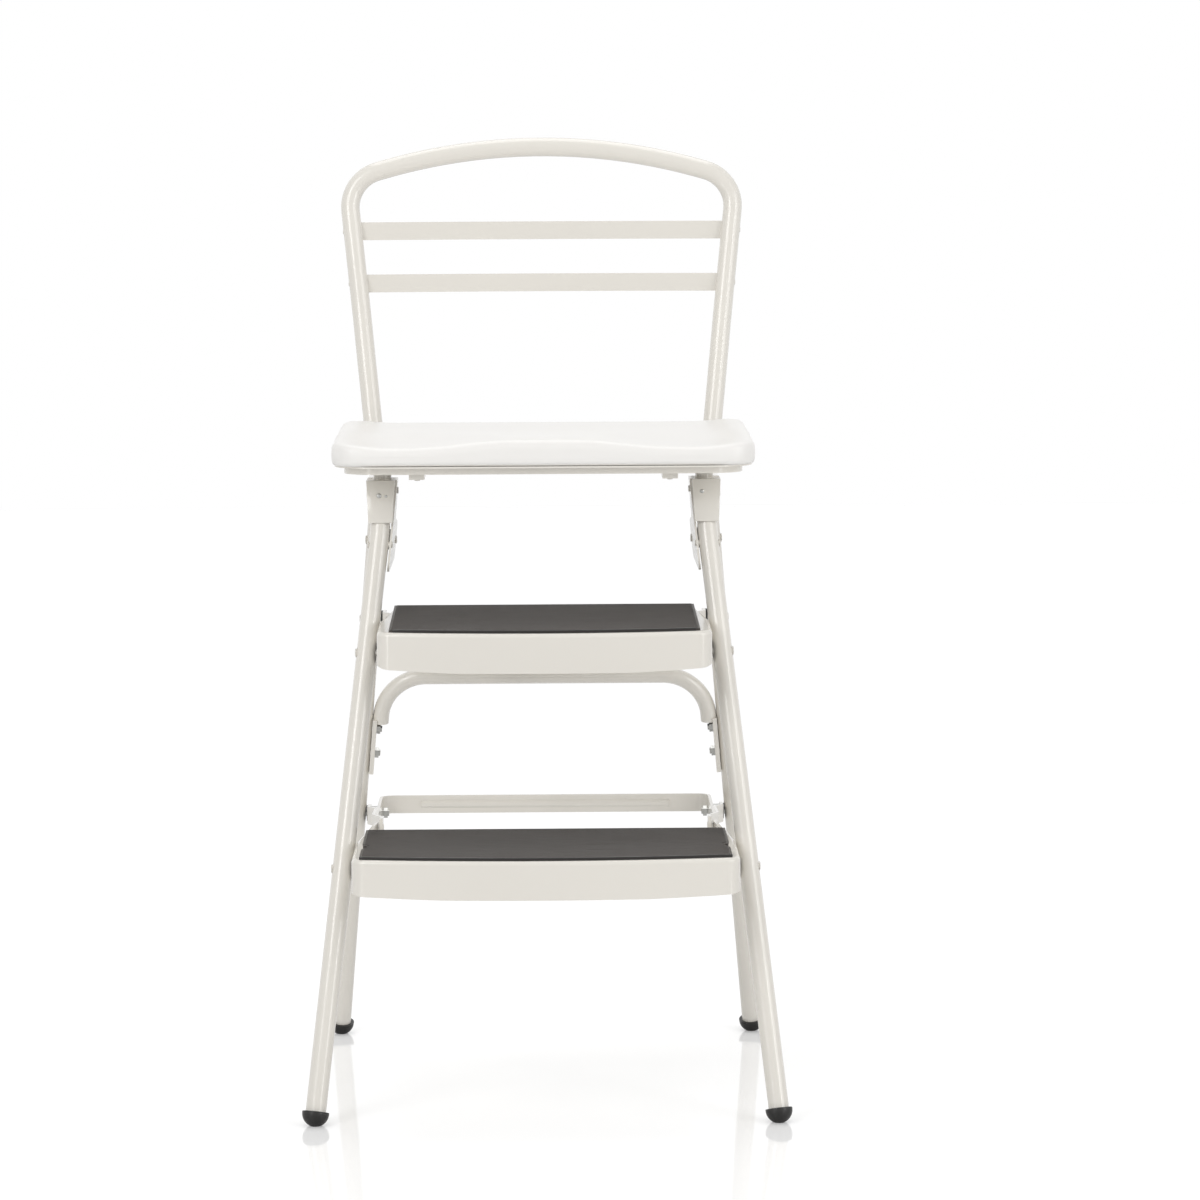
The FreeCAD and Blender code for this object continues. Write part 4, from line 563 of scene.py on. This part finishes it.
class STOOL_OT_treads(bpy.types.Operator):
    """Model the ribbed tread mats, their front edge darkened with painted shade"""

    bl_idname = "stool.treads"
    bl_label = "Model Treads"

    def execute(self, context):
        for tread in TREADS:
            self.model(context, *tread)
        return {"FINISHED"}

    def model(self, context, name, node, body, sink, tilt, pivot, notch_y):
        """One mat: a base, fine ribs along it and a raised front edge."""
        shape = context.scene.stool_shape
        looks = finishes()
        half, front, rear, top = TREAD_SIZES[name]
        radius = (half * half + sink * sink) / (2 * sink)
        steps = round(TREAD_STEPS * 2 * math.pi / math.asin(half / radius))
        base = add_box("tread_base", (-half, front, top), (half, rear, top + shape.mat_base))
        ribs = self.ribs(shape, half, front, rear, top)
        if notch_y is not None:
            for piece in (base, ribs):
                for side in (-1, 1):
                    self.notch(piece, side * half, notch_y, top)
        for piece in (base, ribs):
            bpy.ops.mesh.primitive_cylinder_add(
                vertices=steps, radius=radius, depth=TOOL_HEIGHT,
                location=(0, front + radius, top))
            combine(piece, bpy.context.object, "INTERSECT")
        lip = self.front_edge(shape, half, front, radius, steps, top, sink)
        pieces = [base, ribs]
        if notch_y is not None:
            for side in (-1, 1):
                bpy.ops.mesh.primitive_cylinder_add(
                    vertices=PIN_STEPS, radius=PIN_RADIUS, depth=PIN_HEIGHT,
                    location=(side * (half - PIN_INSET), notch_y, top + PIN_HEIGHT / 2))
                pieces.append(context.object)
        mat = join_pieces(pieces)
        # The edge takes the darkened vinyl, painted shade on the mat's front face
        for piece, title, key in ((mat, name, "vinyl"), (lip, name + "_edge", "lip")):
            clear_selection()
            piece.select_set(True)
            context.view_layer.objects.active = piece
            context.scene.cursor.location = (0, pivot[0], pivot[1])
            bpy.ops.object.origin_set(type="ORIGIN_CURSOR")
            piece.rotation_euler.x = math.radians(tilt)
            settle(piece, title, body, looks[key], TREAD_SMOOTH_ANGLE)
        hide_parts(node)

    def ribs(self, shape, half, front, rear, top):
        """Fine straight ribs, side by side from rear to front."""
        pitch = shape.rib_pitch
        low_z = top + shape.mat_base - RIB_SINK
        high_z = top + shape.mat_base + shape.rib_height
        edge = shape.mat_margin
        ribs = add_box("tread_ribs", (-half + edge, rear - edge - pitch * RIB_SHARE, low_z),
                       (half - edge, rear - edge, high_z))
        count = int((rear - edge - front - shape.lip_width) / pitch)
        apply_modifier(ribs, "BEVEL", width=pitch * RIB_CHAMFER, segments=1)
        apply_modifier(ribs, "ARRAY", count=count, use_relative_offset=False,
                       use_constant_offset=True, constant_offset_displace=(0, -pitch, 0))
        return ribs

    def notch(self, piece, x, y, top):
        """A long shallow V cut into the end of the mat."""
        bpy.ops.mesh.primitive_cylinder_add(
            vertices=4, radius=NOTCH_HALF_LENGTH, depth=TOOL_HEIGHT, location=(x, y, top))
        cutter = bpy.context.object
        cutter.scale.x = NOTCH_SQUASH
        place_into_mesh(cutter)
        combine(piece, cutter, "DIFFERENCE")

    def front_edge(self, shape, half, front, radius, steps, top, sink):
        """A smooth raised strip along the bowed front."""
        width = shape.lip_width
        bpy.ops.mesh.primitive_circle_add(vertices=steps, radius=radius,
                                          location=(0, front + radius, top - LIP_SINK))
        lip = bpy.context.object
        place_into_mesh(lip)
        bpy.ops.object.mode_set(mode="EDIT")
        end_x = half + LIP_PAST_END
        rear_y = front + sink + LIP_PAST_SINK
        select_where(lip, lambda co: abs(co.x) > end_x or co.y > rear_y, "VERT")
        bpy.ops.mesh.delete(type="VERT")
        bpy.ops.mesh.select_all(action="SELECT")
        height = shape.mat_base + shape.rib_height + LIP_RISE
        bpy.ops.mesh.extrude_region_move(TRANSFORM_OT_translate={"value": (0, 0, height)})
        bpy.ops.mesh.select_all(action="SELECT")
        bpy.ops.mesh.normals_make_consistent(inside=False)
        bpy.ops.object.mode_set(mode="OBJECT")
        apply_modifier(lip, "SOLIDIFY", thickness=width, offset=0.0)
        apply_modifier(lip, "BEVEL", width=width * LIP_ROUND, segments=LIP_STEPS,
                       limit_method="ANGLE", angle_limit=SHARP)
        return lip


class STOOL_OT_covers(bpy.types.Operator):
    """Model the flared sheet covers at the tops of the front legs"""

    bl_idname = "stool.covers"
    bl_label = "Model Leg Covers"

    def execute(self, context):
        looks = finishes()
        for word, side in (("left", -1), ("right", 1)):
            cover = self.wedge("cover_shell", side, 0.0)
            combine(cover, self.wedge("cover_tool", side, COVER_WALL), "DIFFERENCE")
            apply_modifier(cover, "BEVEL", width=COVER_ROUND, segments=COVER_STEPS,
                           limit_method="ANGLE", angle_limit=SHARP)
            settle(cover, "leg_cover_" + word, "front_frame", looks["enamel"])
            heads = []
            for x, z, radius in COVER_HEADS:
                if x * side > 0:
                    heads.append(self.head(x, z, radius))
            settle(join_pieces(heads), "cover_heads_" + word, "front_frame",
                   looks["zinc"])
        return {"FINISHED"}

    def wedge(self, name, side, wall):
        """A block that leans with the leg and flares to its top, or the hollow inside it."""
        top = COVER_HEIGHTS[1] - wall
        foot = COVER_HEIGHTS[0] - HOLLOW_PAST_FOOT * wall
        inner = COVER_TOP[0] + wall
        outer = COVER_TOP[1] - wall
        xs = sorted((side * inner, side * outer))
        block = add_box(name, (xs[0], COVER_DEPTH[0] + wall, foot),
                        (xs[1], COVER_DEPTH[1] + HOLLOW_PAST_REAR * wall, top))
        low = (foot + top) / 2
        middle = (inner + outer) / 2
        moves = (
            (lambda co: co.z < low, (0, COVER_LEAN, 0)),
            (lambda co: co.z < low and abs(co.x) < middle,
             (side * (COVER_FOOT[0] - COVER_TOP[0]), 0, 0)),
            (lambda co: co.z < low and abs(co.x) > middle,
             (side * (COVER_FOOT[1] - COVER_TOP[1]), 0, 0)),
        )
        bpy.ops.object.mode_set(mode="EDIT")
        for test, shift in moves:
            select_where(block, test, "VERT")
            bpy.ops.transform.translate(value=shift)
        bpy.ops.object.mode_set(mode="OBJECT")
        return block

    def head(self, x, z, radius):
        """A low round rivet head on the cover's leaning front."""
        share = (COVER_HEIGHTS[1] - z) / (COVER_HEIGHTS[1] - COVER_HEIGHTS[0])
        clear_selection()
        bpy.ops.mesh.primitive_uv_sphere_add(
            segments=HEAD_STEPS[0], ring_count=HEAD_STEPS[1], radius=radius,
            location=(x, COVER_DEPTH[0] + COVER_LEAN * share, z))
        dome = bpy.context.object
        dome.scale.y = HEAD_SQUASH
        place_into_mesh(dome)
        return dome


class STOOL_OT_stage(bpy.types.Operator):
    """Set up the floor, the lights and the camera"""

    bl_idname = "stool.stage"
    bl_label = "Set Stage"

    def execute(self, context):
        stage = context.scene.stool_stage
        clear_selection()
        bpy.ops.mesh.primitive_plane_add(size=FLOOR_SPAN, location=(0, 0, 0))
        floor = context.object
        floor.name = "studio_floor"
        floor.data.materials.append(self.floor_material())
        self.add_lights(context, stage)
        self.add_world(context, stage)
        self.add_camera(context, stage)
        context.scene.view_settings.view_transform = "Standard"
        return {"FINISHED"}

    def floor_material(self):
        """White glossy floor with a little glow, so that only shade and mirror images show."""
        material = bpy.data.materials.new("Studio Floor")
        material.use_nodes = True
        nodes = material.node_tree.nodes
        links = material.node_tree.links
        shader = nodes["Principled BSDF"]
        shader.inputs["Base Color"].default_value = (FLOOR_TONE, FLOOR_TONE, FLOOR_TONE, 1)
        shader.inputs["Roughness"].default_value = FLOOR_BLUR
        shader.inputs["Emission Color"].default_value = (1, 1, 1, 1)
        rays = nodes.new("ShaderNodeLightPath")
        glow = nodes.new("ShaderNodeMath")
        glow.operation = "MULTIPLY"
        glow.inputs[1].default_value = FLOOR_GLOW
        links.new(rays.outputs["Is Camera Ray"], glow.inputs[0])
        links.new(glow.outputs["Value"], shader.inputs["Emission Strength"])
        return material

    def add_lights(self, context, stage):
        """Three large soft lights and two tall narrow ones for streaks on the tubes."""
        powers = {
            "key": stage.key_power,
            "fill": stage.fill_power,
            "top": stage.top_power,
            "strip_left": stage.strip_power,
            "strip_right": stage.strip_power,
        }
        aim = Vector(LIGHTS_AIM)
        for name, (place, wide, tall) in LIGHTS.items():
            lamp = bpy.data.lights.new(name, "AREA")
            lamp.energy = powers[name]
            lamp.shape = "RECTANGLE"
            lamp.size = wide
            lamp.size_y = tall
            holder = bpy.data.objects.new(name, lamp)
            holder.location = place
            holder.rotation_euler = (aim - Vector(place)).to_track_quat("-Z", "Y").to_euler()
            context.scene.collection.objects.link(holder)

    def add_world(self, context, stage):
        """Even pale light; white to the camera and in mirror-like surfaces."""
        world = bpy.data.worlds.new("Studio")
        context.scene.world = world
        world.use_nodes = True
        nodes = world.node_tree.nodes
        links = world.node_tree.links
        back = nodes["Background"]
        back.inputs["Color"].default_value = (1, 1, 1, 1)
        rays = nodes.new("ShaderNodeLightPath")
        glossy = nodes.new("ShaderNodeMath")
        glossy.operation = "MAXIMUM"
        clear = nodes.new("ShaderNodeMath")
        clear.operation = "MAXIMUM"
        strength = nodes.new("ShaderNodeMapRange")
        strength.inputs["To Min"].default_value = stage.sky
        strength.inputs["To Max"].default_value = 1.0
        links.new(rays.outputs["Is Camera Ray"], glossy.inputs[0])
        links.new(rays.outputs["Is Glossy Ray"], glossy.inputs[1])
        links.new(glossy.outputs["Value"], clear.inputs[0])
        links.new(rays.outputs["Is Transmission Ray"], clear.inputs[1])
        links.new(clear.outputs["Value"], strength.inputs["Value"])
        links.new(strength.outputs["Result"], back.inputs["Strength"])

    def add_camera(self, context, stage):
        """Camera at the photograph's place, turned by yaw, pitch and roll."""
        pitch = stage.camera_pitch
        yaw = stage.camera_yaw
        roll = stage.camera_roll
        ahead = Vector((math.sin(yaw) * math.cos(pitch), math.cos(yaw) * math.cos(pitch),
                        -math.sin(pitch)))
        level = Vector((math.cos(yaw), -math.sin(yaw), 0))
        upright = level.cross(ahead)
        right = level * math.cos(roll) + upright * math.sin(roll)
        up = right.cross(ahead)
        data = bpy.data.cameras.new("studio_camera")
        data.sensor_width = SENSOR_WIDTH
        data.lens = stage.lens
        camera = bpy.data.objects.new("studio_camera", data)
        turn = Matrix((right, up, -ahead)).transposed().to_4x4()
        camera.matrix_world = Matrix.Translation(Vector(stage.camera_place)) @ turn
        context.scene.collection.objects.link(camera)
        context.scene.camera = camera


class STOOL_PT_panel(bpy.types.Panel):
    """Lists the builders and their settings"""

    bl_idname = "STOOL_PT_panel"
    bl_label = "Step Stool Chair"
    bl_space_type = "VIEW_3D"
    bl_region_type = "UI"
    bl_category = "Step Stool"

    def draw(self, context):
        layout = self.layout
        for operator in OPERATORS:
            layout.operator(operator.bl_idname)
        for holder in ("stool_finish", "stool_shape", "stool_stage"):
            group = getattr(context.scene, holder)
            for name in group.__annotations__:
                layout.prop(group, name)


OPERATORS = (STOOL_OT_finish, STOOL_OT_seat, STOOL_OT_treads, STOOL_OT_covers,
             STOOL_OT_stage)
CLASSES = (StoolFinish, StoolShape, StoolStage, *OPERATORS, STOOL_PT_panel)


def register():
    """Register every class and attach the settings to the scene."""
    for item in CLASSES:
        bpy.utils.register_class(item)
    bpy.types.Scene.stool_finish = PointerProperty(type=StoolFinish)
    bpy.types.Scene.stool_shape = PointerProperty(type=StoolShape)
    bpy.types.Scene.stool_stage = PointerProperty(type=StoolStage)


def unregister():
    """Take everything back."""
    del bpy.types.Scene.stool_stage
    del bpy.types.Scene.stool_shape
    del bpy.types.Scene.stool_finish
    for item in reversed(CLASSES):
        bpy.utils.unregister_class(item)


def main():
    """Build every piece."""
    register()
    bpy.ops.stool.finish()
    bpy.ops.stool.seat()
    bpy.ops.stool.treads()
    bpy.ops.stool.covers()
    bpy.ops.stool.stage()


if __name__ == "__main__":
    main()
